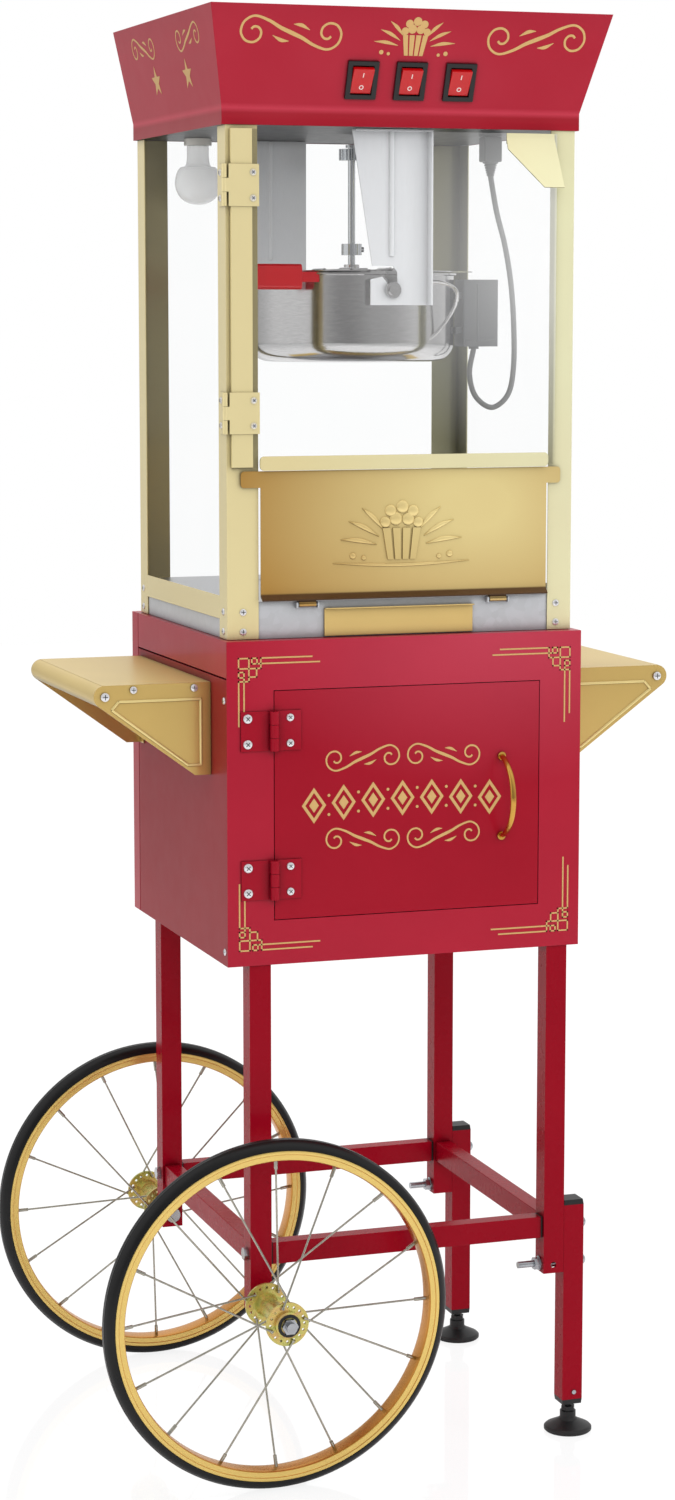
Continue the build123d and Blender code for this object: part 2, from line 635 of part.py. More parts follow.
# neck and flared crown, then the same shape a wall thinner cut out of it
with BuildPart(centre) as marquee_shell:
    for wall, mode in ((0, Mode.ADD), (marquee_t, Mode.SUBTRACT)):
        with BuildSketch(level(marquee_lo)):
            Rectangle(neck_w - 2 * wall, neck_d - 2 * wall)
        extrude(amount=marquee_mid - marquee_lo, mode=mode)
        with BuildSketch(level(marquee_mid)):
            Rectangle(neck_w - 2 * wall, neck_d - 2 * wall)
        with BuildSketch(level(marquee_hi - wall)):
            with Locations((0, crown_y)):
                Rectangle(crown_w - 2 * wall, crown_d - 2 * wall)
        loft(mode=mode)
    with BuildSketch(slope.offset(4)):
        with Locations(*[(x, switch_rise) for x in switches.values()]):
            Rectangle(28.4, 36.4)
    extrude(amount=-12, mode=Mode.SUBTRACT)
save(marquee_shell.part, "marquee_shell")

gear_teeth, gear_module = 18, 1.5
gear_pitch_r = gear_teeth * gear_module / 2
gear_gap = 0.3
drive_x = trunk_x + 2 * gear_pitch_r + gear_gap

with BuildPart(centre) as ceiling_plate:
    block((2 * 209.8, 2 * 181.8, 1.6), (0, 0, 1532.4))
    rod(12, 6, UPRIGHT, (drive_x, 0, 1532), mode=Mode.SUBTRACT)
save(ceiling_plate.part, "ceiling_plate")

with BuildPart(slope) as switch_bezels:
    for x in switches.values():
        block((36, 43, 3), (x, switch_rise, 1.6))
        block((28, 36, 19.2), (x, switch_rise, -9.5))
        block((24.6, 32.6, 22), (x, switch_rise, -5), mode=Mode.SUBTRACT)
        rod(1.2, 27, ALONG_X, (x, switch_rise, -1))
save(switch_bezels.part, "switch_bezels")

# Rockers: shallow V keys, one end pressed in, turning about a pin along X.
for name, x in switches.items():
    with BuildPart(slope) as rocker:
        key_plane = Plane(origin=slope.from_local_coords(Vector(x - 12, switch_rise, -1)),
                          x_dir=slope.y_dir, z_dir=slope.x_dir)
        with BuildSketch(key_plane):
            with BuildLine():
                Polyline((-15.6, 1.6), (-0.5, 4.6), (13.6, 8.2), (15.0, 2.6), (5, -5.5),
                         (-5, -5.5), (-14.8, -1.5), (-15.6, 1.6))
            make_face()
        extrude(amount=24)
        rod(1.25, 40, ALONG_X, (x, switch_rise, -1), mode=Mode.SUBTRACT)
    save(rocker.part, "rocker_" + name)

# ---------------------------------------------------------------- kettle and drive
hang_y = 140.0             # inner faces of the hanger plates

# Hanger outlines: (distance from the tilt axis along X, height).
FRONT_HANGER = (
    (-48, 1531), (44, 1531), (44, 1335), (-26, 1335), (-26, 1364), (-12, 1367), (-6.1, 1360),
    (-6.1, 1352), (6.1, 1352), (6.1, 1372), (1, 1379), (-24, 1379), (-48, 1531))
REAR_HANGER = (
    (-102, 1531), (-10, 1531), (-10, 1372), (-6.1, 1360), (-6.1, 1352), (6.1, 1352), (6.1, 1368),
    (14, 1368), (14, 1335), (-80, 1335), (-80, 1379), (-102, 1531))

with BuildPart(centre) as kettle_hangers:
    for outline, y, thickness in ((FRONT_HANGER, -hang_y, 2), (REAR_HANGER, hang_y, -2)):
        with BuildSketch(front_plane(y)):
            with BuildLine():
                Polyline(*[(trunk_x + dx, z) for dx, z in outline])
            make_face()
            with Locations((trunk_x, trunk_z)):
                Circle(6.1, mode=Mode.SUBTRACT)
        extrude(amount=thickness)
    # right-hand flange, top flange and upright rod; the rear ones are set to the left
    for end, shift, flange_z, flange_h in ((-1, 0, 1433, 196), (1, -54, 1453, 156)):
        x, y = trunk_x + shift, end * (hang_y + 9)
        block((2, 14, flange_h), (x + 43, y, flange_z))
        block((92, 14, 2), (x - 2, y, 1530))
        rod(3.2, 140, UPRIGHT, (x - 1, end * (hang_y + 2), 1460))
save(kettle_hangers.part, "kettle_hangers")

pot_lo, pot_hi, pot_in = 1270.0, 1372.0, 1284.0   # underside, rim, inside floor
pot_bore = kettle_r - 2
pot_corner = 22
lid_hinge_x, lid_hinge_z = 23.5, pot_hi + 4
stop_loop = ((40, -113, 1358), (66, -122, 1361), (92, -112, 1349), (84, -104, 1320),
             (60, -103, 1296))   # centre line of the front loop: x, y, z
with BuildPart(centre) as kettle_pot:
    with BuildSketch(front_plane(0, trunk_x)):
        with BuildLine():
            corner_x, corner_z = kettle_r - pot_corner, pot_lo + pot_corner
            Polyline((0, pot_in), (0, pot_lo), (corner_x, pot_lo))
            ThreePointArc((corner_x, pot_lo),
                          (corner_x + pot_corner * sin(radians(45)),
                           corner_z - pot_corner * cos(radians(45))),
                          (kettle_r, corner_z))
            Polyline((kettle_r, corner_z), (kettle_r, pot_hi - 3), (kettle_r + 3, pot_hi - 2),
                     (kettle_r + 3, pot_hi), (pot_bore, pot_hi), (pot_bore, pot_in), (0, pot_in))
        make_face()
    revolve(axis=Axis((xc + trunk_x, 0, 0), (0, 0, 1)))
    # trunnions with end discs
    for end in (-1, 1):
        rod(6.0, hang_y + 12 - kettle_r, ALONG_Y,
            (trunk_x, end * (kettle_r + hang_y + 8) / 2, trunk_z))
        rod(9.0, 4.5, ALONG_Y, (trunk_x, end * (hang_y + 5.2), trunk_z))
        rod(13, 5, ALONG_Y, (trunk_x, end * (kettle_r + 2), trunk_z))
    # bridge across the mouth, its bush and the lids' hinge rods
    block((38, 2 * kettle_r + 2, 2), (trunk_x, 0, pot_hi + 1))
    rod(9, 9, UPRIGHT, (trunk_x, 0, pot_hi + 6))
    for x in (-lid_hinge_x, lid_hinge_x):
        rod(1.2, 202, ALONG_Y, (trunk_x + x, 0, lid_hinge_z))
        for y in (-99.5, 0, 99.5):
            block((8.4, 3, 5.2), (trunk_x + x * 0.83, y, pot_hi + 2.6))
    rod(4.25, 60, UPRIGHT, (trunk_x, 0, pot_hi), mode=Mode.SUBTRACT)
    # stop loop welded to the pot's front
    with BuildLine() as loop:
        Spline(*[(xc + x, y, z) for x, y, z in stop_loop])
    with BuildSketch(Plane(origin=loop.line @ 0, z_dir=loop.line % 0)):
        Circle(2.2)
    sweep()
    with Locations((46, -106, 1293)):
        Sphere(4)
    # clear whatever reaches inside the pot
    rod(pot_bore, 84, UPRIGHT, (trunk_x, 0, pot_in + 42), mode=Mode.SUBTRACT)
save(kettle_pot.part, "kettle_pot")

for name, hand in (("kettle_lid_left", -1), ("kettle_lid_right", 1)):
    with BuildPart(centre) as lid:
        with BuildSketch(level(pot_hi + 1.5)):
            with Locations((trunk_x, 0)):
                Circle(kettle_r - 1)
            with Locations((trunk_x + hand * (kettle_r + 5), 0)):
                RectangleRounded(36, 60, 8)
            # keep only this lid's side of the bridge
            with Locations((trunk_x - hand * (kettle_r - 24), 0)):
                Rectangle(2 * kettle_r, 3 * kettle_r, mode=Mode.SUBTRACT)
        extrude(amount=1.2)
        for y in (-50, 50):
            knuckle = (trunk_x + hand * lid_hinge_x, y, lid_hinge_z)
            rod(2.6, 40, ALONG_Y, knuckle)
            rod(1.25, 60, ALONG_Y, knuckle, mode=Mode.SUBTRACT)
    save(lid.part, name)

with BuildPart(centre) as kettle_handle:
    block((38, 4, 12), (trunk_x - 91, -95, 1367))
    block((82, 14, 29), (-133, -95, 1367))
    fillet(kettle_handle.edges().filter_by(Axis.X).sort_by(Axis.Y)[:2], 5)
save(kettle_handle.part, "kettle_handle")

cable_y = -34              # terminal box and cable share this plane
with BuildPart(centre) as terminal_box:
    block((44, 32, 78), (146, cable_y, 1326))
    fillet(terminal_box.edges().filter_by(Axis.Z), 2.5)
    block((9, 20, 8), (121, cable_y, 1346), (121, cable_y, 1306))
    rod(6, 3, UPRIGHT, (143, cable_y, 1285.6))
save(terminal_box.part, "terminal_box")


def gear_outline(phase):
    """Corner points of a spur gear; phase turns it, in radians."""
    root, tip = gear_pitch_r - 1.9, gear_pitch_r + 1.4
    # one tooth: (radius, arc length from the tooth's middle)
    tooth = ((root, -1.55), (gear_pitch_r, -1.0), (tip, -0.5),
             (tip, 0.5), (gear_pitch_r, 1.0), (root, 1.55))
    points = []
    for i in range(gear_teeth):
        middle = 2 * pi * i / gear_teeth + phase
        for radius, arc in tooth:
            angle = middle + arc / radius
            points.append((radius * cos(angle), radius * sin(angle)))
    return points


gear_z, gear_t = 1503, 13
shaft_lo, shaft_hi = 1286, 1521
with BuildPart(centre) as stirrer:
    rod(4.2, shaft_hi - shaft_lo, UPRIGHT, (trunk_x, 0, (shaft_lo + shaft_hi) / 2))
    # collar with its side screw, and the disc above the gear
    rod(12, 13, UPRIGHT, (trunk_x, 0, 1400))
    rod(3, 5, ALONG_X, (trunk_x + 12, 0, 1400))
    rod(7, 3, UPRIGHT, (trunk_x, 0, 1519))
    with BuildSketch(level(gear_z)):
        with Locations((trunk_x, 0)):
            Polygon(*gear_outline(0), align=None)
    extrude(amount=gear_t)
    # crossed arms on the pot's floor, the long one with upturned ends
    with Locations((trunk_x, 0, 1287.5)):
        Box(204, 9, 3)
        Box(9, 150, 3)
    block((3, 9, 12), (trunk_x + 98, 0, 1292), (trunk_x - 98, 0, 1292))
save(stirrer.part, "stirrer")

drive_lo, drive_hi = 1501, 1548
with BuildPart(centre) as drive_gear:
    rod(4, drive_hi - drive_lo, UPRIGHT, (drive_x, 0, (drive_lo + drive_hi) / 2))
    with BuildSketch(level(gear_z)):
        with Locations((drive_x, 0)):
            # turned half a tooth to mesh
            Polygon(*gear_outline(pi / gear_teeth), align=None)
    extrude(amount=gear_t)
save(drive_gear.part, "drive_gear")

with BuildPart(centre) as gear_motor:
    block((60, 74, 18), (drive_x, 0, 1543))
    rod(24, 46, UPRIGHT, (drive_x, 14, 1575))
    rod(4.06, 26, UPRIGHT, (drive_x, 0, 1536), mode=Mode.SUBTRACT)
save(gear_motor.part, "gear_motor")

# Cable from the terminal box, looping down and then up to the ceiling: (x, z).
CABLE_RUN = (
    (143, 1283.4), (138, 1255), (146, 1228), (167, 1215), (187, 1230), (194, 1262),
    (194, 1310), (190, 1360), (182, 1405), (171, 1445), (163, 1487))
with BuildPart() as power_cable:
    with BuildLine() as run:
        Spline(*[(xc + x, cable_y, z) for x, z in CABLE_RUN], tangents=((0, 0, -1), (0, 0, 1)))
    with BuildSketch(Plane(origin=run.line @ 0, z_dir=run.line % 0)):
        Circle(3.2)
    sweep()
    # plug and socket
    rod(8, 14, UPRIGHT, (xc + 163, cable_y, 1493))
    block((22, 20, 32), (xc + 163, cable_y, 1515))
save(power_cable.part, "power_cable")

# ---------------------------------------------------------------- lamp
lamp_x, lamp_y = -150, 120
with BuildPart(centre) as lamp_socket:
    rod(16.5, 8, UPRIGHT, (lamp_x, lamp_y, 1527.2))
    rod(13.4, 7, UPRIGHT, (lamp_x, lamp_y, 1525.5), mode=Mode.SUBTRACT)
save(lamp_socket.part, "lamp_socket")

bulb_lo, bulb_hi = 1454, 1528
cap_r, cap_z = 13.2, 1514
with BuildPart(centre) as light_bulb:
    with BuildSketch(front_plane(lamp_y, lamp_x)):
        with BuildLine():
            Spline((0, bulb_lo), (19, 1460), (27.5, 1479), (20.5, 1498), (cap_r, cap_z),
                   tangents=((1, 0), (0, 1)))
            Polyline((cap_r, cap_z), (cap_r, bulb_hi), (0, bulb_hi), (0, bulb_lo))
        make_face()
    revolve(axis=Axis((xc + lamp_x, lamp_y, 0), (0, 0, 1)))
save(light_bulb.part, "light_bulb")

# ---------------------------------------------------------------- screws
# Pan-head screws that hold the fixed panels.
head_h = 1.6
proud = 0.85               # head's middle, out from the face it sits on
bracket_ys = (shelf_y0 - 1.5 - proud, shelf_y1 + 1.5 + proud)
with BuildPart(centre) as case_screws:
    for hand in (-1, 1):
        for z in (994, 972):
            rod(4, head_h, ALONG_Y,
                (hand * 189, -pop_y - proud, z), (hand * 189, pop_y + proud, z))
            rod(4, head_h, ALONG_X,
                (hand * (pop_x + proud), -168, z), (hand * (pop_x + proud), 168, z))
        for z in (896, 610):
            rod(4, head_h, ALONG_X, (hand * (half_w + proud), -190, z))
        for y in bracket_ys:
            rod(5, head_h, ALONG_Y, (hand * nose_x, y, nose_z))
    for x in (-305, -234):
        rod(4.2, head_h, ALONG_Y, *[(x, y, shelf_top - 6) for y in bracket_ys])
save(case_screws.part, "case_screws")
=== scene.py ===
# A popcorn cart: a red cabinet on two gold wheels, a glass case with a kettle, a marquee on top.
# X runs across the front, -Y is the front and +Z is up. The wheels turn about Y.
# Sizes and places are in mm and become metres through MM. Most x values count from MID_X.
import json
from math import cos, sin, pi, radians, hypot

import bmesh
import bpy
import numpy as np
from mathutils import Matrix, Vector


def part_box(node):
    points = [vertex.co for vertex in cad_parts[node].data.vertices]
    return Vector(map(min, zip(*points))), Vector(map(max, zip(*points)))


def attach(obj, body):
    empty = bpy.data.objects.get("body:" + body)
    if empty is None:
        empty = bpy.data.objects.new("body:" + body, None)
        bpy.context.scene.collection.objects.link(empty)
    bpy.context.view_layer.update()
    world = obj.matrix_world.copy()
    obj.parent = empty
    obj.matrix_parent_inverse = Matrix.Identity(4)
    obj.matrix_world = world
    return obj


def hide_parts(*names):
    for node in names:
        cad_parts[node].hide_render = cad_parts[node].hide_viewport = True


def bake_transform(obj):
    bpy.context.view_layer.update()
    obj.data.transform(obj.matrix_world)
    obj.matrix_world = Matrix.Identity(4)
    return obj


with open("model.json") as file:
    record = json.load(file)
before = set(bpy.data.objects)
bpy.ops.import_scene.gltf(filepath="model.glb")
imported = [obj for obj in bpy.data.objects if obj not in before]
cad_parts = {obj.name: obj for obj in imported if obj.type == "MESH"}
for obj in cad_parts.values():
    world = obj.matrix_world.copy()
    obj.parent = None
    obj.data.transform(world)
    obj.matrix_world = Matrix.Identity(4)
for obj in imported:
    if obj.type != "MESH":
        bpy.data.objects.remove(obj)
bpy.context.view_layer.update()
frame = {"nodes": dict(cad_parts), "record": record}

MM = 0.001
scene = bpy.context.scene
record = frame["record"]
body_of_node = {n: body for body, nodes in record["behaviour"]["bodies"].items() for n in nodes}
slot_of_node = {part["node"]: part["material_slot"] for part in record["subparts"]}

low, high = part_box("cabinet_front")
MID_X = (low.x + high.x) / 2 / MM       # the cabinet's centre line
FRONT_Y = low.y / MM                    # the cabinet's front face
FOLD_Z = 1550                           # lower fold of the marquee
MARQUEE_FOOT_Y = -184                   # the marquee's front face at the fold
BASE = -0.05                            # prints and reliefs start this far under the surface
WELD = 2e-6                             # merging distance for CAD vertices, m


# ------------------------------------------------------------------ shader node helpers
mats = {}


def lin(colour):
    """sRGB to linear."""
    return tuple(x / 12.92 if x <= 0.04045 else ((x + 0.055) / 1.055) ** 2.4 for x in colour)


def shade(colour, factor, lift=0.0):
    return tuple(min(1, x * factor + lift) for x in colour)


class Nodes:
    """A node tree with short ways to add nodes. Inputs take plain values or sockets."""
    def __init__(self, tree):
        self.tree = tree

    def feed(self, socket, value):
        if isinstance(value, bpy.types.NodeSocket):
            self.tree.links.new(value, socket)
        elif socket.type == "RGBA":
            socket.default_value = (*value, 1.0)
        else:
            socket.default_value = value

    def node(self, kind, inputs=None, **properties):
        made = self.tree.nodes.new("ShaderNode" + kind)
        for key, value in properties.items():
            setattr(made, key, value)
        for key, value in (inputs or {}).items():
            self.feed(made.inputs[key], value)
        return made

    def ramp(self, value, stops):
        """Colour ramp through (position, linear colour) stops."""
        made = self.node("ValToRGB", {"Fac": value})
        elements = made.color_ramp.elements
        elements[0].position = stops[0][0]
        elements[-1].position = stops[-1][0]
        for position, _ in stops[1:-1]:
            elements.new(position)
        for element, (_, colour) in zip(elements, stops):
            element.color = (*colour, 1.0)
        return made.outputs["Color"]

    def remap(self, value, to=(0.0, 1.0), over=(0.0, 1.0), **properties):
        """Carries the range `over` to the range `to`."""
        return self.node("MapRange", {
            "Value": value, "From Min": over[0], "From Max": over[1],
            "To Min": to[0], "To Max": to[1]}, **properties).outputs[0]

    def math(self, operation, *operands):
        return self.node("Math", dict(enumerate(operands)), operation=operation).outputs[0]

    def mix(self, factor, first, second, blend_type="MIX"):
        inputs = {0: factor, 6: first, 7: second}
        return self.node("Mix", inputs, data_type="RGBA", blend_type=blend_type).outputs[2]

    def times(self, colour, factor):
        return self.mix(1.0, colour, factor, "MULTIPLY")

    def split(self, vector):
        return self.node("SeparateXYZ", {0: vector}).outputs

    def mix_shader(self, factor, first, second):
        return self.node("MixShader", {0: factor, 1: first, 2: second}).outputs[0]

    def camera_ray(self):
        return self.node("LightPath").outputs["Is Camera Ray"]


class Mat(Nodes):
    """A new material around its Principled shader, filed in mats."""
    def __init__(self, name):
        material = mats[name] = bpy.data.materials.new(name)
        material.use_nodes = True
        super().__init__(material.node_tree)
        self.shader = self.tree.nodes["Principled BSDF"]
        self.surface = self.tree.nodes["Material Output"].inputs["Surface"]
        self.position = self.node("TexCoord").outputs["Object"]

    def set(self, **values):
        for key, value in values.items():
            self.feed(self.shader.inputs[key.replace("_", " ")], value)

    def mapping(self, scale, location=(0, 0, 0)):
        inputs = {"Vector": self.position, "Scale": scale, "Location": location}
        return self.node("Mapping", inputs).outputs[0]

    def noise(self, scale, detail=3.0, rough=0.55, stretch=None, distortion=0.0):
        return self.node("TexNoise", {
            "Scale": scale, "Detail": detail, "Roughness": rough, "Distortion": distortion,
            "Vector": self.mapping(stretch) if stretch else self.position}).outputs["Fac"]

    def drift(self, noise, first, second):
        """Goes from one colour to the other over the middle of a noise."""
        return self.mix(self.remap(noise, over=(0.3, 0.7)), first, second)

    def bump(self, height, strength, distance=0.0002):
        inputs = {"Strength": strength, "Distance": distance, "Height": height}
        self.set(Normal=self.node("Bump", inputs).outputs[0])

    def painted_seam_shade(self, colour, floor):
        """Painted shade: darkens a colour in seams, gaps and inner corners by ambient occlusion,
        down to floor.
        """
        hidden = self.node("AmbientOcclusion", {"Distance": 0.012}, samples=6).outputs["AO"]
        return self.times(colour, self.remap(hidden, to=(floor, 1.0), over=(0.30, 0.92)))

    def painted_underside_shade(self, colour):
        """Painted shade: darkens faces that look down."""
        normal = self.node("NewGeometry").outputs["True Normal"]
        facing = self.split(normal)["Z"]
        return self.times(colour, self.remap(facing, to=(0.35, 1.0), over=(-0.85, -0.25)))

    def glow(self, x, z, radius_x, radius_z):
        """1 at a point of the front view fading to 0 at the ellipse around it."""
        place = self.mapping((1000 / radius_x, 0, 1000 / radius_z),
                             (-(MID_X + x) / radius_x, 0, -z / radius_z))
        return self.node("TexGradient", {"Vector": place},
                         gradient_type="SPHERICAL").outputs["Fac"]


# ------------------------------------------------------------------ kinds of finish
def gloss_coat(m, colour, rough, coat, spec, peel):
    """Powder coat surface: dust in the gloss, a slight orange peel and painted shade in seams
    and corners.
    """
    m.set(Base_Color=m.painted_seam_shade(colour, floor=0.22),
          Roughness=m.remap(m.noise(38, detail=4), to=(rough - 0.03, rough + 0.06)),
          Coat_Weight=coat, Coat_Roughness=0.06, Specular_IOR_Level=spec)
    m.bump(m.noise(380, detail=2), strength=peel, distance=0.0003)


def powder_paint(name, colour, rough, coat, spec, peel=0.05, bloom=None):
    """Powder coat with a faint tone drift and, if bloom is given, a painted highlight: a paler
    pink spot there.
    """
    m = Mat(name)
    paint = lin(colour)
    tone = m.drift(m.noise(5.5), shade(paint, 0.94), shade(paint, 1.05, lift=0.001))
    if bloom:
        # painted highlight: the paint pales towards pink around the given point of the front
        # view
        amount = m.remap(m.glow(**bloom), to=(0.0, 0.42), over=(0.0, 0.9))
        tone = m.mix(amount, tone, lin((0.80, 0.33, 0.41)))
    gloss_coat(m, tone, rough, coat, spec, peel)


def marquee_paint(name):
    """Powder coat with painted shade in the band under the fold, a painted highlight line along
    it, a darker tone towards the top and patches of painted pink reflection.
    """
    m = Mat(name)
    face, band = lin((0.66, 0.065, 0.165)), lin((0.59, 0.015, 0.10))
    height = m.remap(m.split(m.position)["Z"], over=((FOLD_Z - 40) * MM, (FOLD_Z + 160) * MM))
    # painted shade in the band under the fold, a painted highlight line at the fold, darker
    # towards the top
    tone = m.ramp(height, [
        (0.0, band), (0.170, band), (0.196, lin((0.76, 0.20, 0.28))),
        (0.222, face), (0.60, face), (1.0, shade(face, 0.80))])
    # patches of painted pink reflection over the face
    painted_reflection = m.remap(m.noise(3.2), to=(0, 0.30), over=(0.42, 0.75))
    tone = m.mix(painted_reflection, tone, lin((0.76, 0.24, 0.31)))
    gloss_coat(m, tone, rough=0.30, coat=0.12, spec=0.16, peel=0.05)


def gold_sheet(name, colour, rough, axis, metallic, painted_sheen=None, low=None, seam_shade_floor=0.4,
               coat=0.12, spec=0.4, lip=None):
    """Satin gold sheet, rolled along axis, with painted shade in seams and on faces that look
    down.
    low is its tone away from a painted highlight, lip the height of a band of painted shade and
    dark reflection."""
    m = Mat(name)
    gold = lin(colour)
    stretch = tuple(1.0 if a == axis else 45 ** 0.3 for a in "xyz")
    lines = m.noise(3, detail=2, rough=0.5, stretch=stretch)
    tone = m.drift(m.noise(4, detail=2), shade(gold, 0.93), shade(gold, 1.06))
    # painted highlight: the tone falls to low away from the given point
    if painted_sheen:
        tone = m.mix(m.remap(m.glow(**painted_sheen), over=(0.05, 0.85)), lin(low), tone)
    # painted shade and dark reflection: a dark brown band from 9 mm under lip up to lip
    if lip:
        z = m.split(m.position)["Z"]
        band = m.math("MULTIPLY",
                      m.remap(z, to=(1.0, 0.0), over=(lip * MM, (lip + 2.0) * MM)),
                      m.remap(z, over=((lip - 9.0) * MM, (lip - 8.5) * MM)))
        tone = m.mix(band, tone, lin((0.36, 0.25, 0.13)))
    # painted shade in seams and on faces that look down
    m.set(Base_Color=m.painted_underside_shade(m.painted_seam_shade(tone, seam_shade_floor)), Metallic=metallic,
          Roughness=m.remap(lines, to=(rough - 0.02, rough + 0.05)),
          Coat_Weight=coat, Coat_Roughness=0.15, Specular_IOR_Level=spec)


def gold_print(name):
    """Gold ink with a fine grain."""
    m = Mat(name)
    grain = m.noise(900)
    m.set(Base_Color=m.mix(m.remap(grain, to=(0, 0.35)),
                           lin((0.87, 0.71, 0.46)), lin((0.66, 0.51, 0.27))),
          Metallic=0.25, Roughness=m.remap(m.noise(60), to=(0.36, 0.52)))
    m.bump(grain, strength=0.08, distance=0.0001)


def galvanised(name):
    """Zinc spangle: cells of slightly different grey and gloss, with painted shade in seams and
    corners.
    """
    m = Mat(name)
    cells = m.node("TexVoronoi", {"Scale": 110, "Vector": m.position}).outputs["Color"]
    grey = m.node("RGBToBW", {0: cells}).outputs[0]
    tone = m.mix(grey, lin((0.79, 0.80, 0.81)), lin((0.83, 0.84, 0.855)))
    m.set(Base_Color=m.painted_seam_shade(tone, floor=0.3), Metallic=0.45,
          Roughness=m.remap(grey, to=(0.36, 0.52)))
    m.bump(m.noise(300), strength=0.05)


def metal(name, colour, rough, stretch=None, scale=60, strength=0.05, dark=0.8,
          metallic=1.0, seam_shade_floor=None):
    """Metal whose tone, gloss and relief follow one noise; painted shade in seams if asked. dark
    is the deepest tone's share.
    """
    m = Mat(name)
    noise = m.noise(scale, detail=4, rough=0.6, stretch=stretch)
    tone = m.drift(noise, shade(lin(colour), dark), lin(colour))
    m.set(Base_Color=m.painted_seam_shade(tone, seam_shade_floor) if seam_shade_floor else tone, Metallic=metallic,
          Roughness=m.remap(noise, to=(rough - 0.06, rough + 0.08)))
    m.bump(noise, strength)


def plastic(name, colour, rough, grain=700, strength=0.15, coat=0.0):
    """Grained plastic. grain is the scale of the grain, strength its depth."""
    m = Mat(name)
    base = lin(colour)
    noise = m.noise(grain)
    m.set(Base_Color=m.mix(m.remap(noise, to=(0, 0.4)), base, shade(base, 1.25, lift=0.003)),
          Roughness=m.remap(m.noise(45), to=(rough - 0.05, rough + 0.09)),
          Coat_Weight=coat, Coat_Roughness=0.1)
    m.bump(noise, strength)


def rubber(name):
    """Black rubber with a fresh moulded gloss and faint bloom."""
    m = Mat(name)
    bloom = m.noise(14, detail=4)
    m.set(Base_Color=m.mix(m.remap(bloom, over=(0.35, 0.75)),
                           lin((0.05, 0.05, 0.052)), lin((0.09, 0.09, 0.093))),
          Roughness=m.remap(bloom, to=(0.24, 0.34)), Specular_IOR_Level=0.30)
    m.bump(m.noise(520), strength=0.08)


def yellow_zinc(name):
    """Yellow-passivated zinc, drifting from green to straw and pink."""
    m = Mat(name)
    tone = m.ramp(m.noise(55, distortion=1.2), [
        (0.30, lin((0.64, 0.68, 0.38))), (0.47, lin((0.80, 0.77, 0.44))),
        (0.60, lin((0.84, 0.72, 0.42))), (0.75, lin((0.80, 0.64, 0.50)))])
    m.set(Base_Color=tone, Metallic=0.7, Roughness=m.remap(m.noise(120), to=(0.20, 0.36)))
    m.bump(m.noise(400, detail=2), strength=0.06)


def glass(name, gloss, painted_reflection_spot=None):
    """Thin pane: faintly tinted, mirrors at grazing angles. The last argument is where a painted
    white reflection lies.
    """
    m = Mat(name)
    tint = (0.994, 0.997, 0.997)
    smear = m.noise(7)
    mirror = m.node("BsdfGlossy", {"Roughness": m.remap(smear, to=(0.0, 0.05))})
    tone = m.mix(m.remap(smear, over=(0.35, 0.7)), tint, shade(tint, 1.01))
    clear = m.node("BsdfTransparent", {"Color": tone})
    fresnel = m.node("Fresnel", {"IOR": 1.45}).outputs[0]
    backfacing = m.node("NewGeometry").outputs["Backfacing"]
    amount = m.math("MULTIPLY", fresnel, m.remap(backfacing, to=(0.55 * gloss, 0.0)))
    pane = m.mix_shader(amount, clear.outputs[0], mirror.outputs[0])
    if painted_reflection_spot:
        # painted reflection: a white emission that fades outwards in streaks, and only the
        # camera sees it, on front faces
        fade = m.remap(m.glow(**painted_reflection_spot), to=(0.0, 0.50), over=(0.0, 0.75))
        streak = m.noise(2.2, detail=2, rough=0.5, stretch=(1.0, 1.0, 0.35))
        painted_reflection = m.math("MULTIPLY", fade, m.remap(streak, to=(0.55, 1.0), over=(0.35, 0.65)))
        painted_reflection = m.math("MULTIPLY", painted_reflection, m.remap(backfacing, to=(1.0, 0.0)))
        painted_reflection = m.math("MULTIPLY", painted_reflection, m.camera_ray())
        white = m.node("Emission", {0: (1, 1, 1)}).outputs[0]
        pane = m.mix_shader(painted_reflection, pane, white)
    m.feed(m.surface, pane)
    m.tree.nodes.remove(m.shader)


def frosted_bulb(name):
    m = Mat(name)
    clear = m.node("BsdfTransparent", {"Color": (0.95, 0.95, 0.95)})
    m.set(Base_Color=m.mix(m.remap(m.noise(120)), (0.90, 0.90, 0.90), (0.95, 0.95, 0.95)),
          Roughness=0.18, Coat_Weight=0.5)
    m.feed(m.surface, m.mix_shader(0.42, clear.outputs[0], m.shader.outputs[0]))


# ------------------------------------------------------------------ the cart's materials
# painted highlight: where the door and the cabinet front pale towards pink
DOOR_PAINTED_HIGHLIGHT = dict(x=110, z=975, radius_x=330, radius_z=190)

powder_paint("frame_red", (0.575, 0.015, 0.105), rough=0.26, coat=0.04, spec=0.07, peel=0.03)
# painted shade: a darker, duller copy of the cabinet red for the cabinet's left side
powder_paint("side_red", (0.57, 0.08, 0.13), rough=0.34, coat=0.03, spec=0.08)
powder_paint("cabinet_red", (0.66, 0.085, 0.18), rough=0.30, coat=0.12, spec=0.16,
             bloom=DOOR_PAINTED_HIGHLIGHT)
marquee_paint("marquee_red")
powder_paint("door_red", (0.615, 0.04, 0.135), rough=0.30, coat=0.08, spec=0.12,
             bloom=DOOR_PAINTED_HIGHLIGHT)
plastic("black_plastic", (0.06, 0.06, 0.065), rough=0.42)
metal("zinc_steel", (0.74, 0.75, 0.77), rough=0.24, scale=90)
yellow_zinc("zinc_yellow")
rubber("rubber_black")
metal("rim_gold", (0.93, 0.80, 0.46), rough=0.24, scale=9, strength=0.0, dark=0.93,
      metallic=0.60)
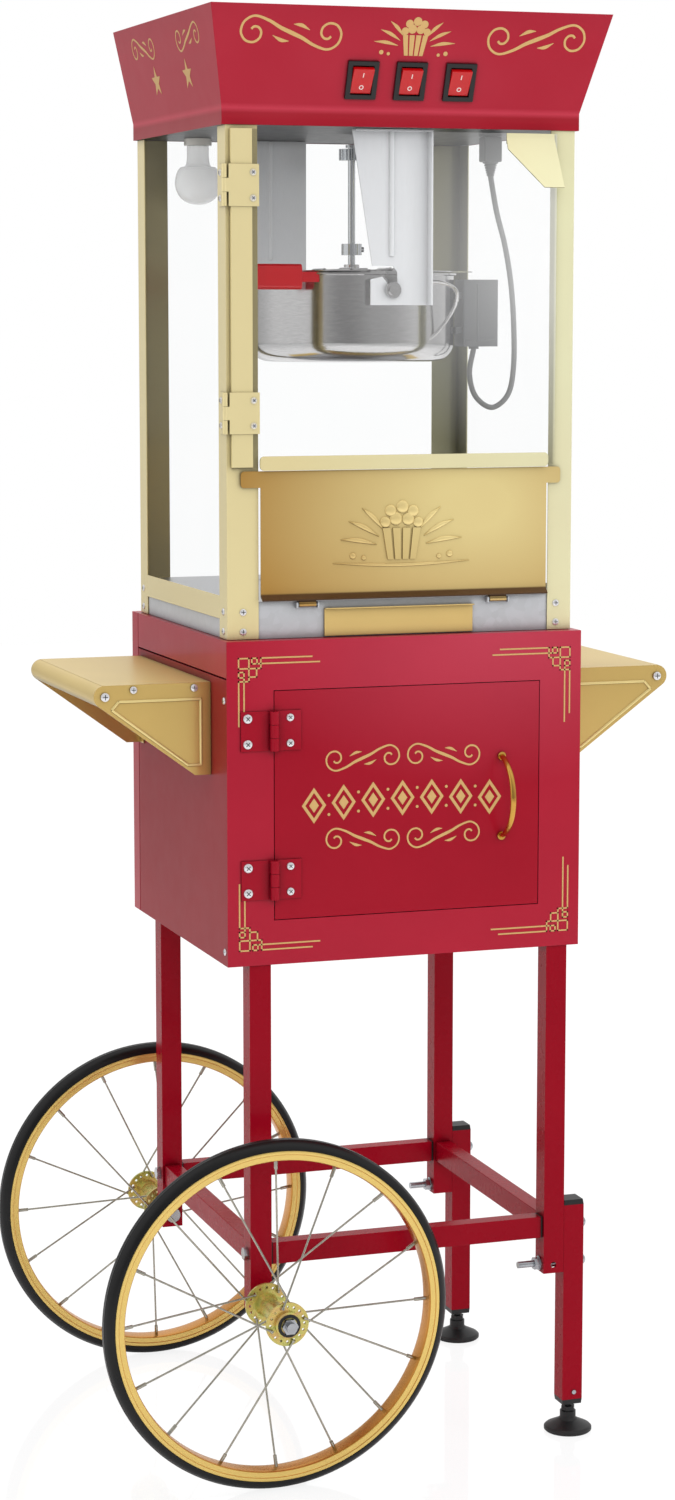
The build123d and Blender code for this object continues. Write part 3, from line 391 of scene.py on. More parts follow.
# painted reflection: a darker, oranger copy of the rim gold for its faces towards the axle
metal("rim_inner", (0.84, 0.58, 0.24), rough=0.24, scale=9, strength=0.0, dark=0.80,
      metallic=0.75)
metal("spoke_steel", (0.74, 0.73, 0.68), rough=0.20, scale=150, dark=0.7)
# painted highlight: the posts and trim pale towards the given point from the low tone
gold_sheet("brass_sheet", (1.0, 0.97, 0.80), rough=0.212, axis="z", metallic=0.42,
           painted_sheen=dict(x=260, z=1290, radius_x=420, radius_z=900), low=(0.965, 0.90, 0.68))
gold_sheet("brass_sheet_x", (0.88, 0.75, 0.45), rough=0.212, axis="x", metallic=0.65)
gold_sheet("brass_sheet_y", (0.84, 0.74, 0.48), rough=0.32, axis="y", metallic=0.25,
           coat=0.0, spec=0.12)
# painted highlight: the ribs take a paler gold than the brackets, with strong painted shade in
# seams
gold_sheet("brass_rib", (0.97, 0.88, 0.60), rough=0.20, axis="x", metallic=0.6, seam_shade_floor=0.0)
gold_sheet("brass_tray", (0.96, 0.83, 0.53), rough=0.212, axis="x", metallic=0.55)
# painted highlight around the given point with the darker low tone away from it, and a band of
# painted shade and dark reflection at the lip
gold_sheet("brass_panel", (1.0, 0.90, 0.63), rough=0.212, axis="x", metallic=0.48,
           painted_sheen=dict(x=85, z=1110, radius_x=300, radius_z=190), low=(0.76, 0.58, 0.29),
           lip=1012.5)
galvanised("galvanised")
glass("clear_glass", gloss=0.28)
# painted reflection: a white streaky spot on the front glass, seen only by the camera
glass("front_glass", gloss=0.45, painted_reflection_spot=dict(x=165, z=1395, radius_x=250, radius_z=240))
# painted shade in seams and corners of the kettle hangers
metal("hanger_steel", (0.95, 0.955, 0.965), rough=0.20, stretch=(40, 40, 4), scale=20,
      strength=0.0, dark=0.95, metallic=0.25, seam_shade_floor=0.45)
metal("stainless", (0.86, 0.855, 0.855), rough=0.14, stretch=(4, 4, 60), scale=25,
      strength=0.03, dark=0.86)
metal("deck_steel", (0.74, 0.74, 0.75), rough=0.30, stretch=(60, 3, 3), scale=25,
      strength=0.04, dark=0.86)
metal("polished_steel", (0.86, 0.87, 0.88), rough=0.10, stretch=(60, 60, 3), scale=20,
      strength=0.02, dark=0.9)
plastic("red_grip", (0.72, 0.06, 0.10), rough=0.30, grain=500, strength=0.06, coat=0.3)
plastic("terminal_grey", (0.34, 0.345, 0.36), rough=0.38, grain=600, strength=0.12, coat=0.1)
plastic("gear_black", (0.07, 0.07, 0.07), rough=0.4)
metal("motor_grey", (0.42, 0.43, 0.45), rough=0.36, scale=80)
plastic("switch_red", (0.76, 0.02, 0.05), rough=0.22, grain=300, strength=0.02, coat=0.12)
plastic("switch_black", (0.03, 0.025, 0.03), rough=0.30, grain=600, strength=0.05)
plastic("cable_black", (0.42, 0.425, 0.43), rough=0.42, grain=600, strength=0.12)
plastic("ceramic_white", (0.90, 0.89, 0.86), rough=0.2, grain=200, strength=0.02, coat=0.6)
frosted_bulb("bulb_glass")
metal("screw_steel", (0.93, 0.93, 0.94), rough=0.22, scale=140, dark=0.92, metallic=0.6)
# painted shade: the ceiling plate inside the marquee takes a near black grey
metal("ceiling_dark", (0.13, 0.13, 0.135), rough=0.35, scale=70)
metal("handle_gold", (0.86, 0.66, 0.32), rough=0.14, scale=90, dark=0.86)
gold_print("print_gold")
plastic("mark_white", (0.93, 0.90, 0.88), rough=0.4, grain=400, strength=0.02)


# ------------------------------------------------------------------ mesh helpers
def link_mesh(name, bm, mat, smooth_deg):
    """Links a smooth-shaded object, sharp where its faces meet above smooth_deg."""
    bmesh.ops.recalc_face_normals(bm, faces=bm.faces[:])
    mesh = bpy.data.meshes.new(name)
    bm.to_mesh(mesh)
    bm.free()
    mesh.materials.append(mats[mat])
    mesh.shade_smooth()
    mesh.set_sharp_from_angle(angle=radians(smooth_deg))
    made = bpy.data.objects.new(name, mesh)
    scene.collection.objects.link(made)
    return made


def make(name, bm, mat, body, smooth_deg=35, weighted=True):
    """Links the mesh as part of a body."""
    made = link_mesh(name, bm, mat, smooth_deg)
    if weighted:
        normals = made.modifiers.new("normals", "WEIGHTED_NORMAL")
        normals.keep_sharp = True
        normals.weight = 50
    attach(made, body)
    return made


def skin(node, radius, segments, mat=None, angle=38):
    """The node's own solid, welded and cleaned to whole faces, with its edges rounded."""
    bm = bmesh.new()
    bm.from_mesh(frame["nodes"][node].data)
    bmesh.ops.remove_doubles(bm, verts=bm.verts[:], dist=WELD)
    bmesh.ops.dissolve_limit(bm, angle_limit=radians(0.4), verts=bm.verts[:],
                             edges=bm.edges[:])
    if radius > 0:
        edges = [e for e in bm.edges if e.is_manifold
                 and e.calc_face_angle(0) > radians(angle) and e.calc_length() > 0.0004]
        if edges:
            bmesh.ops.bevel(bm, geom=edges, offset=radius * MM, segments=segments,
                            profile=0.6, affect="EDGES", clamp_overlap=True)
    slot = slot_of_node[node]
    made = make(node + "_skin", bm, mat or slot, body_of_node[node])
    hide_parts(node)


def bridge(bm, first, second, closed=True):
    """Quads between two rows of vertices."""
    n = len(first)
    for k in range(n if closed else n - 1):
        j = (k + 1) % n
        bm.faces.new((first[k], first[j], second[j], second[k]))


def lathe(bm, profile, origin, axis="y", steps=128, closed=True):
    """Revolves (radius, along) points about an axis through origin."""
    rings = []
    for i in range(steps):
        turn = 2 * pi * i / steps
        ring = []
        for r, along in profile:
            if axis == "y":
                offset = (r * cos(turn), along, r * sin(turn))
            else:
                offset = (r * cos(turn), r * sin(turn), along)
            place = Vector([o + d for o, d in zip(origin, offset)])
            ring.append(bm.verts.new(place * MM))
        rings.append(ring)
    for i in range(steps):
        bridge(bm, rings[i], rings[(i + 1) % steps], closed)


class Plane:
    """A flat drawing surface: u across, v up, h along its normal."""
    def __init__(self, origin, across, up):
        self.origin = Vector(origin)
        self.across = Vector(across).normalized()
        self.up = Vector(up).normalized()
        self.normal = self.across.cross(self.up).normalized()

    def at(self, u, v, h):
        return (self.origin + self.across * u + self.up * v + self.normal * h) * MM


def front_plane(y, x=0, z=0):
    """An upright plane that looks to the front, its origin x from the centre line."""
    return Plane((MID_X + x, y, z), (1, 0, 0), (0, 0, 1))


def smooth_line(points, step):
    """Catmull-Rom through points of three values, the first two being the place."""
    p = [np.array(q, float) for q in points]
    p = [2 * p[0] - p[1]] + p + [2 * p[-1] - p[-2]]
    out = []
    for i in range(1, len(p) - 2):
        n = max(2, int(np.linalg.norm(p[i + 1][:2] - p[i][:2]) / step))
        for k in range(n):
            t = k / n
            out.append(0.5 * ((2 * p[i]) + (-p[i - 1] + p[i + 1]) * t
                              + (2 * p[i - 1] - 5 * p[i] + 4 * p[i + 1] - p[i + 2]) * t * t
                              + (-p[i - 1] + 3 * p[i] - 3 * p[i + 1] + p[i + 2]) * t ** 3))
    out.append(p[-2])
    return out


# rounded section of a raised stroke: (share of half width, share of crown)
CROWN_SECTION = ((1, 0.0), (0.72, 0.7), (0, 1.0), (-0.72, 0.7), (-1, 0.0))


def stroke(bm, plane, points, height=0.22, crown=0.0, step=0.8, move=(0, 0)):
    """A ribbon through (u, v, width) points: flat at height, or rounded up to crown."""
    path = [(u + move[0], v + move[1], max(width, 0.08))
            for u, v, width in smooth_line(points, step)]
    rows = []
    for i, (u, v, width) in enumerate(path):
        before, after = path[max(0, i - 1)], path[min(len(path) - 1, i + 1)]
        ahead = Vector((after[0] - before[0], after[1] - before[1])).normalized()
        side_u, side_v = -ahead.y * (width / 2), ahead.x * (width / 2)
        if crown > 0:
            top = [(s, max(0.02, crown * share * min(1, width / 1.5)))
                   for s, share in CROWN_SECTION]
        else:
            top = [(1, height), (-1, height)]
        rows.append([bm.verts.new(plane.at(u + side_u * s, v + side_v * s, h))
                     for s, h in top + [(-1, BASE), (1, BASE)]])
    for first, second in zip(rows, rows[1:]):
        bridge(bm, first, second)
    bm.faces.new(rows[0])
    bm.faces.new(list(reversed(rows[-1])))


def mound(bm, plane, rings, sides, tip=None, u=0, v=0):
    """A round solid through (radius, h) rings, closed by a point at tip or a flat top."""
    turns = [2 * pi * i / sides for i in range(sides)]
    previous = None
    for r, h in rings:
        ring = [bm.verts.new(plane.at(u + r * cos(t), v + r * sin(t), h)) for t in turns]
        if previous:
            bridge(bm, previous, ring)
        else:
            bm.faces.new(list(reversed(ring)))
        previous = ring
    if tip is None:
        bm.faces.new(previous)
    else:
        point = bm.verts.new(plane.at(u, v, tip))
        for i in range(sides):
            bm.faces.new((previous[i], previous[(i + 1) % sides], point))


def blob(bm, plane, u, v, radius, height, dome=0.0, sides=18):
    """A disc up to height, or a domed one up to dome."""
    if dome > 0:
        rings = [(radius * share, dome * rise)
                 for share, rise in ((0.93, 0.45), (0.75, 0.78), (0.42, 0.96))]
        mound(bm, plane, [(radius, BASE)] + rings, sides, tip=dome, u=u, v=v)
    else:
        mound(bm, plane, [(radius, BASE), (radius, height)], sides, u=u, v=v)


def poly(bm, plane, points, height=0.22, base=BASE):
    """A flat closed polygon with a side wall."""
    bottom = [bm.verts.new(plane.at(u, v, base)) for u, v in points]
    top = [bm.verts.new(plane.at(u, v, height)) for u, v in points]
    bm.faces.new(list(reversed(bottom)))
    bm.faces.new(top)
    bridge(bm, bottom, top)


def bar(bm, plane, start, end, width, height, base=BASE):
    """A straight line with square ends, half a width past start and end."""
    ahead = Vector((end[0] - start[0], end[1] - start[1])).normalized()
    side = Vector((-ahead.y, ahead.x)) * (width / 2)
    reach = ahead * (width / 2)
    a, b = Vector(start) - reach, Vector(end) + reach
    corners = [tuple(a - side), tuple(b - side), tuple(b + side), tuple(a + side)]
    poly(bm, plane, corners, height, base)


# ------------------------------------------------------------------ motifs
# One plain S curve, 122 x 36 mm, the same turned half round: a line wound into a round spiral
# at either end, with a small leaf above and below. Points are (u, v, width).
HALF_S = [(13, -5.5, 4.0), (27, -13.0, 3.2)] + [
    (43 + 17.5 * (1 - 0.085 * i) * cos(-pi / 2 + i * pi / 4),
     17.5 * (1 - 0.085 * i) * sin(-pi / 2 + i * pi / 4), 2.6) for i in range(10)]
SCROLL = [
    [(-u, -v, w) for u, v, w in reversed(HALF_S)] + [(0, 0, 4.6)] + HALF_S,
    [(2, 9.5, 0.6), (11, 8.5, 4.0), (21, 3.5, 0.6)],
    [(-2, -9.5, 0.6), (-11, -8.5, 4.0), (-21, -3.5, 0.6)],
]


def scroll(bm, plane, u, v, scale, side_u=1, side_v=1):
    """The S curve about (u, v). A side of -1 mirrors it. Each stroke is a little higher."""
    for i, points in enumerate(SCROLL):
        placed = [(side_u * a * scale, side_v * b * scale, w * scale) for a, b, w in points]
        stroke(bm, plane, placed, height=0.18 + 0.012 * i, move=(u, v))


def lozenge(bm, plane, u, v, half_width, half_height, thickness):
    """A plain lozenge outline around a small solid one."""
    height = 0.18
    rim = thickness * hypot(half_width, half_height) / (half_width * half_height)
    for s in (-1, 1):
        for q in (-1, 1):
            poly(bm, plane, [(u, v + q * half_height), (u + s * half_width, v),
                             (u + s * half_width * (1 - rim), v),
                             (u, v + q * half_height * (1 - rim))], height)
    w, h = half_width * 0.40, half_height * 0.40
    poly(bm, plane, [(u, v + h), (u + w, v), (u, v - h), (u - w, v)], height)


def star(u, v, radius):
    """Corners of a five-pointed star, one point up."""
    radii = [radius if i % 2 == 0 else radius * 0.40 for i in range(10)]
    return [(u + r * cos(pi / 2 + i * pi / 5), v + r * sin(pi / 2 + i * pi / 5))
            for i, r in enumerate(radii)]


POPPED_CORN = (                         # (u, v, radius)
    (-12, 6, 4.6), (-4.2, 8.4, 5.4), (5, 8.0, 5.2), (12.4, 5.6, 4.4),
    (-8, 14.0, 4.8), (0.8, 16.6, 5.2), (8.6, 13.6, 4.8))
SPRAY_LEAVES = ((8, 27), (26, 25), (44, 22))    # (degrees above level, length)


def carton(bm, plane, cu, cv, size, crown=0.0):
    """A striped popcorn carton under a heap of popped corn, between two sprays."""
    height = 0.2
    for i in range(4):
        left, right = -1 + i * 0.5 + 0.06, -1 + i * 0.5 + 0.44
        poly(bm, plane, [(cu + left * 11 * size, cv - 20 * size),
                         (cu + right * 11 * size, cv - 20 * size),
                         (cu + right * 15 * size, cv + 2 * size),
                         (cu + left * 15 * size, cv + 2 * size)], crown or height)
    for j, (u, v, r) in enumerate(POPPED_CORN):
        blob(bm, plane, cu + u * size, cv + v * size, r * size * 0.9, height + 0.01 * j,
             dome=crown * 1.25, sides=14)
    for s in (-1, 1):
        for degrees, length in SPRAY_LEAVES:
            t = radians(degrees)
            root, end = [(cu + s * (reach * cos(t)) * size, cv + (-12 + reach * sin(t)) * size)
                         for reach in (18.5, 18.5 + length)]
            middle = ((root[0] + end[0]) / 2, (root[1] + end[1]) / 2 + 1.2 * size)
            stroke(bm, plane, [(*root, 0.5 * size), (*middle, 3.6 * size),
                               (*end, 0.4 * size)], height, crown)
        for u, v, r in ((36, 17, 2.4), (28, 18.5, 1.8)):
            blob(bm, plane, cu + s * u * size, cv - v * size, r * size, height, dome=crown)


# ------------------------------------------------------------------ CAD skins
# (nodes, edge radius, bevel segments, own material or least edge angle)
SKINS = (
    ("legs lower_rails stub_legs", 1.4, 3, {}),
    ("cabinet_left", 0.35, 2, dict(mat="side_red")),
    ("cabinet_front cabinet_right cabinet_back cabinet_top cabinet_floor cabinet_door "
     "cabinet_hinge_leaves door_hinge_leaves base_pan base_side_rails glass_hinge_plates "
     "glass_hinge_leaves ceiling_plate", 0.35, 2, {}),
    ("crumb_tray", 0.35, 2, dict(mat="brass_tray")),
    ("marquee_shell", 0.6, 3, dict(mat="marquee_red")),
    ("corner_posts glass_door_stile", 0.35, 2, dict(mat="brass_sheet")),
    ("drop_panel", 0.45, 3, dict(mat="brass_panel")),
    ("glass_door_trim", 0.45, 2, dict(mat="brass_sheet")),
    ("shelf_left shelf_right", 0.35, 2, dict(mat="brass_sheet_y", angle=50)),
    ("shelf_brackets", 0.4, 2, dict(mat="brass_sheet_x")),
    ("deck_plate", 0.0, 1, dict(mat="deck_steel")),
    ("switch_bezels", 0.5, 3, {}),
    ("rocker_left rocker_middle rocker_right", 0.45, 3, {}),
    ("kettle_hangers", 0.3, 2, dict(mat="hanger_steel")),
    ("terminal_box", 0.6, 3, dict(angle=50)),
    ("kettle_handle", 1.6, 4, {}),
    ("tube_caps", 0.8, 3, {}),
    ("gear_motor", 0.5, 2, dict(angle=50)),
)
for nodes, radius, segments, options in SKINS:
    for node in nodes.split():
        skin(node, radius, segments, **options)

# every node still shown takes its own finish on its CAD mesh
for node, part in frame["nodes"].items():
    if not part.hide_render:
        finish = "front_glass" if node == "glass_door_pane" else slot_of_node[node]
        part.data.materials.clear()
        part.data.materials.append(mats[finish])


# ------------------------------------------------------------------ wheels
def mirrored(profile):
    """The (radius, along) points in reverse, on the other side of the wheel's mid plane."""
    return [(r, -along) for r, along in reversed(profile)]


def tyre(side, centre, outer, half_width, rim):
    """Bead sunk in the rim, round sidewall, shoulder line and a crown with shallow grooves."""
    bead = [(rim - 7.6, -9.6), (rim + 0.2, -10.8), (rim + 0.2, -13.2), (rim + 0.7, -13.7)]
    wall = [(outer - half_width + half_width * sin(radians(t)), -half_width * cos(radians(t)))
            for t in np.linspace(14, 66, 8)]
    crown = [(outer - 0.75, -4.5), (outer - 0.5, -4.1), (outer - 0.1, -3.8), (outer, -1.6),
             (outer - 0.5, -1.3), (outer - 0.5, -0.9), (outer, -0.6)]
    half = bead + wall + crown
    bm = bmesh.new()
    lathe(bm, half + mirrored(half), centre, steps=160)
    made = make("tyre_%s_rubber" % side, bm, "rubber_black", side + "_wheel",
                smooth_deg=28)
    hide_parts("tyre_" + side)


def rim_ring(side, centre, rim, half_width):
    """Rolled lips, flat sides, crowned well. Faces towards the axle take a darker, oranger gold
    as a painted reflection.
    """
    lip = [(rim - 4.6, -half_width + 0.9), (rim - 4.0, -half_width + 0.2),
           (rim - 3.2, -half_width), (rim - 0.6, -half_width), (rim, -half_width + 0.5),
           (rim, -half_width + 1.4), (rim - 0.4, -half_width + 2.1),
           (rim - 7.8, -9.9), (rim - 8.1, -9.3)]
    well = [(rim - 12.0, 0.0), (rim - 11.8, -6.0), (rim - 11.5, -9.4), (rim - 11.1, -11.6),
            (rim - 10.4, -12.3), (rim - 9.6, -12.4), (rim - 8.6, -12.2)]
    bm = bmesh.new()
    lathe(bm, lip + mirrored(lip) + mirrored(well[1:]) + well, centre, steps=160)
    made = make("rim_%s_gold" % side, bm, "rim_gold", side + "_wheel",
                smooth_deg=40)
    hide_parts("rim_" + side)
    made.data.materials.append(mats["rim_inner"])
    for face in made.data.polygons:
        arm = face.center / MM - centre
        arm.y = 0
        if face.normal.dot(arm.normalized()) < -0.45:
            face.material_index = 1


def hub_seal(side, centre):
    """Dark ring in the hub's outer face."""
    low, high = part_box("hub_" + side)
    y = low.y / MM - 0.3 if side == "front" else high.y / MM + 0.3
    section = [(9.6, -0.6), (12.9, -0.6), (13.3, 0.0), (12.9, 0.7), (9.6, 0.7)]
    bm = bmesh.new()
    lathe(bm, section, (centre.x, y, centre.z), steps=64)
    make("hub_seal_" + side, bm, "black_plastic", side + "_wheel")


for side in ("front", "rear"):
    low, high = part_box("tyre_" + side)
    rim_low, rim_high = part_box("rim_" + side)
    centre = (low + high) / 2 / MM
    rim = (rim_high.z - rim_low.z) / 2 / MM
    tyre(side, centre, (high.z - low.z) / 2 / MM, (high.y - low.y) / 2 / MM, rim)
    rim_ring(side, centre, rim, (rim_high.y - rim_low.y) / 2 / MM)
    hub_seal(side, centre)

# ------------------------------------------------------------------ cabinet ornament
# line work of one corner: (start, end), each (inwards, away from the top or bottom edge)
CORNER_LINES = (
    ((0, 0), (12, 0)), ((12, 0), (12, 21)), ((0, 0), (0, 11.5)), ((0, 11.5), (21, 11.5)),
    ((21, 11.5), (21, 21)), ((12, 21), (21, 21)), ((15.5, 0), (21.5, 0)),
    ((15.5, 0), (15.5, 6.2)), ((15.5, 6.2), (95, 6.2)), ((21.5, 0), (21.5, 6.2)),
    ((26, 0), (86, 0)), ((26, 0), (26, 11.5)), ((21, 11.5), (26, 11.5)),
    ((0, 15.5), (0, 21.5)), ((0, 15.5), (6.2, 15.5)), ((6.2, 15.5), (6.2, 86)),
    ((0, 21.5), (6.2, 21.5)), ((0, 26), (0, 76)), ((0, 26), (12, 26)), ((12, 21), (12, 26)))
door = front_plane(FRONT_Y)


def corner_lines():
    half_span, top, bottom = 200, 944, 612
    bm = bmesh.new()
    for s in (-1, 1):
        for z, inwards in ((top, -1), (bottom, 1)):
            for ends in CORNER_LINES:
                start, end = [(s * half_span - s * a, z + inwards * b) for a, b in ends]
                bar(bm, door, start, end, width=1.7, height=0.20)
    make("corner_lines", bm, "print_gold", "cart", weighted=False)


def door_ornament():
    """Scrolls above and below an arched row of lozenges with dots between them."""
    first, pitch, count = -111.5, 35.5, 7
    bm = bmesh.new()
    for side_v, z in ((1, 826), (-1, 733)):
        for s in (-1, 1):
            scroll(bm, door, -4 + s * 49, z, scale=0.76, side_u=s, side_v=side_v)
    for i in range(count):
        z = 774 + 4 * (1 - ((i - 3) / 3) ** 2)
        lozenge(bm, door, first + i * pitch, z, half_width=14.5, half_height=20.5,
                thickness=3.4)
        if i < count - 1:
            for q in (-1, 1):
                blob(bm, door, first + (i + 0.5) * pitch, z + q * 11, radius=1.7, height=0.24)
    make("door_ornament", bm, "print_gold", "cabinet_door", weighted=False)


corner_lines()
door_ornament()

# ------------------------------------------------------------------ marquee
# the front face leans out to the front as it rises
slope = Plane((MID_X, MARQUEE_FOOT_Y, FOLD_Z), (1, 0, 0), (0, -40, 108))


def marquee_ornament():
    """Scrolls and the carton on the front, scrolls and stars on the two leaning sides."""
    bm = bmesh.new()
    scroll(bm, slope, -141, 84, scale=1.0)
    scroll(bm, slope, 147, 84, scale=1.0, side_u=-1)
    carton(bm, slope, 3, 83, size=1.05)
    for s in (-1, 1):
        wing = Plane((MID_X + s * 212, -19, FOLD_Z), (0, s, 0), (s * 23.5, 0, 108))
        for q in (-1, 1):
            scroll(bm, wing, q * 92, 82, scale=0.78, side_u=-q)
            poly(bm, wing, star(q * 64, 42, radius=18))
    make("marquee_ornament", bm, "print_gold", "cart", weighted=False)


# a rocker's face from its lower edge over the middle to its upper edge: (along slope, out)
ROCKER_FACE = ((-15.6, 0.6), (-0.5, 3.6), (13.6, 7.2))


def rocker_marks(name, x):
    """A bar on the upper half, a ring on the lower half of a key."""
    lower, middle, upper = ROCKER_FACE
    foot = Vector((MID_X + x, MARQUEE_FOOT_Y, FOLD_Z)) + slope.up * 33.6
    bm = bmesh.new()
    for start, end in ((middle, upper), (lower, middle)):
        ahead = Vector((end[0] - start[0], end[1] - start[1])).normalized()
        origin = (foot + slope.up * ((start[0] + end[0]) / 2)
                  + slope.normal * ((start[1] + end[1]) / 2))
        half = Plane(origin, (1, 0, 0), slope.up * ahead.x + slope.normal * ahead.y)
        if end is upper:
            bar(bm, half, (0, -2.3), (0, 2.3), width=1.0, height=0.12)
        else:
            ring = [(2.2 * cos(t), 2.2 * sin(t), 0.9) for t in np.linspace(0, 2 * pi, 17)]
            stroke(bm, half, ring, height=0.12, step=0.5)
    make(name + "_marks", bm, "mark_white", name, weighted=False)


marquee_ornament()
for name, x in (("rocker_left", -54.0), ("rocker_middle", 3.0), ("rocker_right", 61.5)):
    rocker_marks(name, x)


# ------------------------------------------------------------------ raised reliefs
def panel_relief():
    """Raised carton on the drop panel over a shallow curved line."""
    panel = front_plane(-185.5)
    bm = bmesh.new()
    carton(bm, panel, -2, 1082, size=1.62, crown=1.7)
    stroke(bm, panel, [(-84, 1046.5, 1.0), (-40, 1044.0, 3.4), (-2, 1043.2, 4.0),
                       (36, 1044.0, 3.4), (80, 1046.5, 1.0)], crown=1.3)
    make("panel_relief", bm, "brass_panel", "drop_panel", smooth_deg=60)


BRACKET_RIB = ((226, 893), (322, 893), (330, 884), (241, 818), (226, 818))  # (x, z) corners


def bracket_ribs():
    """A rib along the outline of each shelf bracket, on the front and the rear face, in a paler
    gold as a painted highlight.
    """
    low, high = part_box("shelf_brackets")
    bm = bmesh.new()
    for s in (-1, 1):
        for y, facing in ((low.y / MM, -1), (high.y / MM, 1)):
            plane = Plane((MID_X, y, 0), (-facing, 0, 0), (0, 0, 1))
            corners = [(-facing * s * x, z) for x, z in BRACKET_RIB]
            for a, b in zip(corners, corners[1:] + corners[:1]):
                middle = ((a[0] + b[0]) / 2, (a[1] + b[1]) / 2)
                stroke(bm, plane, [(*a, 3.6), (*middle, 3.6), (*b, 3.6)], crown=1.5, step=6)
    make("bracket_ribs", bm, "brass_rib", "cart", smooth_deg=60)


panel_relief()
bracket_ribs()


# ------------------------------------------------------------------ screws
def recess_shade_cross(bm, plane, reach, width, top):
    """Painted shade: a dark diagonal cross for the shaded cross recess, just clearing the screw
    head.
    """
    for t in (pi / 4, 3 * pi / 4):
        u, v = reach * cos(t), reach * sin(t)
        bar(bm, plane, (-u, -v), (u, v), width, top, base=1.2)


# the painted recess shade takes the black plastic finish
def make_crosses(name, bm, body):
    make(name, bm, "black_plastic", body, weighted=False)


def island_boxes(node):
    """Low and high corner of each loose piece of a node's mesh."""
    bm = bmesh.new()
    bm.from_mesh(frame["nodes"][node].data)
    bmesh.ops.remove_doubles(bm, verts=bm.verts[:], dist=WELD)
    seen = set()
    boxes = []
    for start in bm.verts:
        if start in seen:
            continue
        seen.add(start)
        island = [start]
        for vert in island:             # grows while it is walked
            for edge in vert.link_edges:
                other = edge.other_vert(vert)
                if other not in seen:
                    seen.add(other)
                    island.append(other)
        places = np.array([tuple(vert.co) for vert in island]) / MM
        boxes.append((places.min(0), places.max(0)))
    bm.free()
    return boxes


def case_screws():
    """Pan heads in place of the CAD heads, each facing away from the middle of the case."""
    heads, crosses = bmesh.new(), bmesh.new()
    for low, high in island_boxes("case_screws"):
        centre, size = (low + high) / 2, high - low
        thin = int(np.argmin(size))     # the axis the screw lies along
        r = max(size) / 2
        outward = 1 if centre[thin] - (MID_X if thin == 0 else 0) > 0 else -1
        origin = Vector(centre)
        origin[thin] = low[thin] if outward > 0 else high[thin]
        normal = Vector((1, 0, 0) if thin == 0 else (0, 1, 0)) * outward
        across = normal.orthogonal().normalized()
        plane = Plane(origin, across, normal.cross(across))
        rings = [(r, 0.0), (r, 0.45), (r * 0.93, 0.95), (r * 0.72, 1.42), (r * 0.4, 1.62)]
        mound(heads, plane, rings, sides=24, tip=1.68)
        recess_shade_cross(crosses, plane, reach=r * 0.52, width=r * 0.17, top=1.74)
    made = make("case_screw_heads", heads, "screw_steel", "cart", smooth_deg=30)
    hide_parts("case_screws")
    make_crosses("case_screw_crosses", crosses, "cart")


def hinge_screws(name, planes, body, radius):
    """Domed heads with a small flat top, one on each plane."""
    heads, crosses = bmesh.new(), bmesh.new()
    rings = [(radius, -0.2), (radius, 0.5), (radius * 0.92, 1.1), (radius * 0.66, 1.6),
             (radius * 0.3, 1.78)]
    for plane in planes:
        mound(heads, plane, rings, sides=22)
        recess_shade_cross(crosses, plane, reach=radius * 0.5, width=radius * 0.18, top=1.84)
    make(name, heads, "screw_steel", body, smooth_deg=30)
    make_crosses(name + "_crosses", crosses, body)


case_screws()
# two screws in each hinge leaf, the same distance above and below the hinge's middle
door_z = [z + d for z in (861.5, 692) for d in (14.5, -14.5)]
glass_z = [z + d for z in (1465.5, 1216) for d in (14, -14)]
leaf_y = FRONT_Y - 1.6
hinge_screws("cabinet_hinge_screws", [front_plane(leaf_y, x=-190, z=z) for z in door_z],
             "cart", radius=5.2)
hinge_screws("door_hinge_screws", [front_plane(leaf_y, x=-140, z=z) for z in door_z],
             "cabinet_door", radius=4.4)
hinge_screws("glass_door_hinge_screws", [front_plane(-190.1, x=-178, z=z) for z in glass_z],
             "glass_door", radius=3.8)
# these plates look to -X
hinge_screws("glass_hinge_plate_screws",
             [Plane((MID_X - 209.1, -168, z), (0, -1, 0), (0, 0, 1)) for z in glass_z],
             "cart", radius=3.8)

# ------------------------------------------------------------------ cable and plug
CABLE_Y = -34
CABLE_RADIUS = 3.2
CABLE_SIDES = 16
KETTLE_END_X = 143
PLUG_X = 163
CABLE_PATH = (                          # (x, z) from the kettle up to the plug
    (KETTLE_END_X, 1284.2), (138, 1255), (146, 1228), (167, 1215), (187, 1230), (194, 1262),
    (194, 1310), (190, 1360), (182, 1405), (171, 1445), (PLUG_X, 1487))


def kettle_cable():
    """A tube that bends on its way between the case and the kettle."""
    path = [Vector((x, CABLE_Y, z))
            for x, z, _ in smooth_line([(x, z, 1) for x, z in CABLE_PATH], step=3.0)]
    side = Vector((0, 1, 0))
    bm = bmesh.new()
    rows = []
    lengths = [0.0]
    for i, place in enumerate(path):
        if i:
            lengths.append(lengths[-1] + (place - path[i - 1]).length)
        ahead = (path[min(i + 1, len(path) - 1)] - path[max(i - 1, 0)]).normalized()
        up = ahead.cross(side).normalized()
        ring = []
        for k in range(CABLE_SIDES):
            turn = 2 * pi * k / CABLE_SIDES
            ring.append(bm.verts.new((place + Vector((MID_X, 0, 0))
                                      + side * CABLE_RADIUS * cos(turn)
                                      + up * CABLE_RADIUS * sin(turn)) * MM))
        rows.append(ring)
    for first, second in zip(rows, rows[1:]):
        bridge(bm, first, second)
    bm.faces.new(rows[0])
    bm.faces.new(rows[-1])
    cable = link_mesh("kettle_cable", bm, "cable_black", smooth_deg=50)
    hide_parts("power_cable")
    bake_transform(cable)
    # weight along the cable, from 1 at the kettle to 0 at the plug, eased at both ends
    share = np.repeat([1 - s / lengths[-1] for s in lengths], CABLE_SIDES).astype(np.float32)
    share = share * share * (3 - 2 * share)


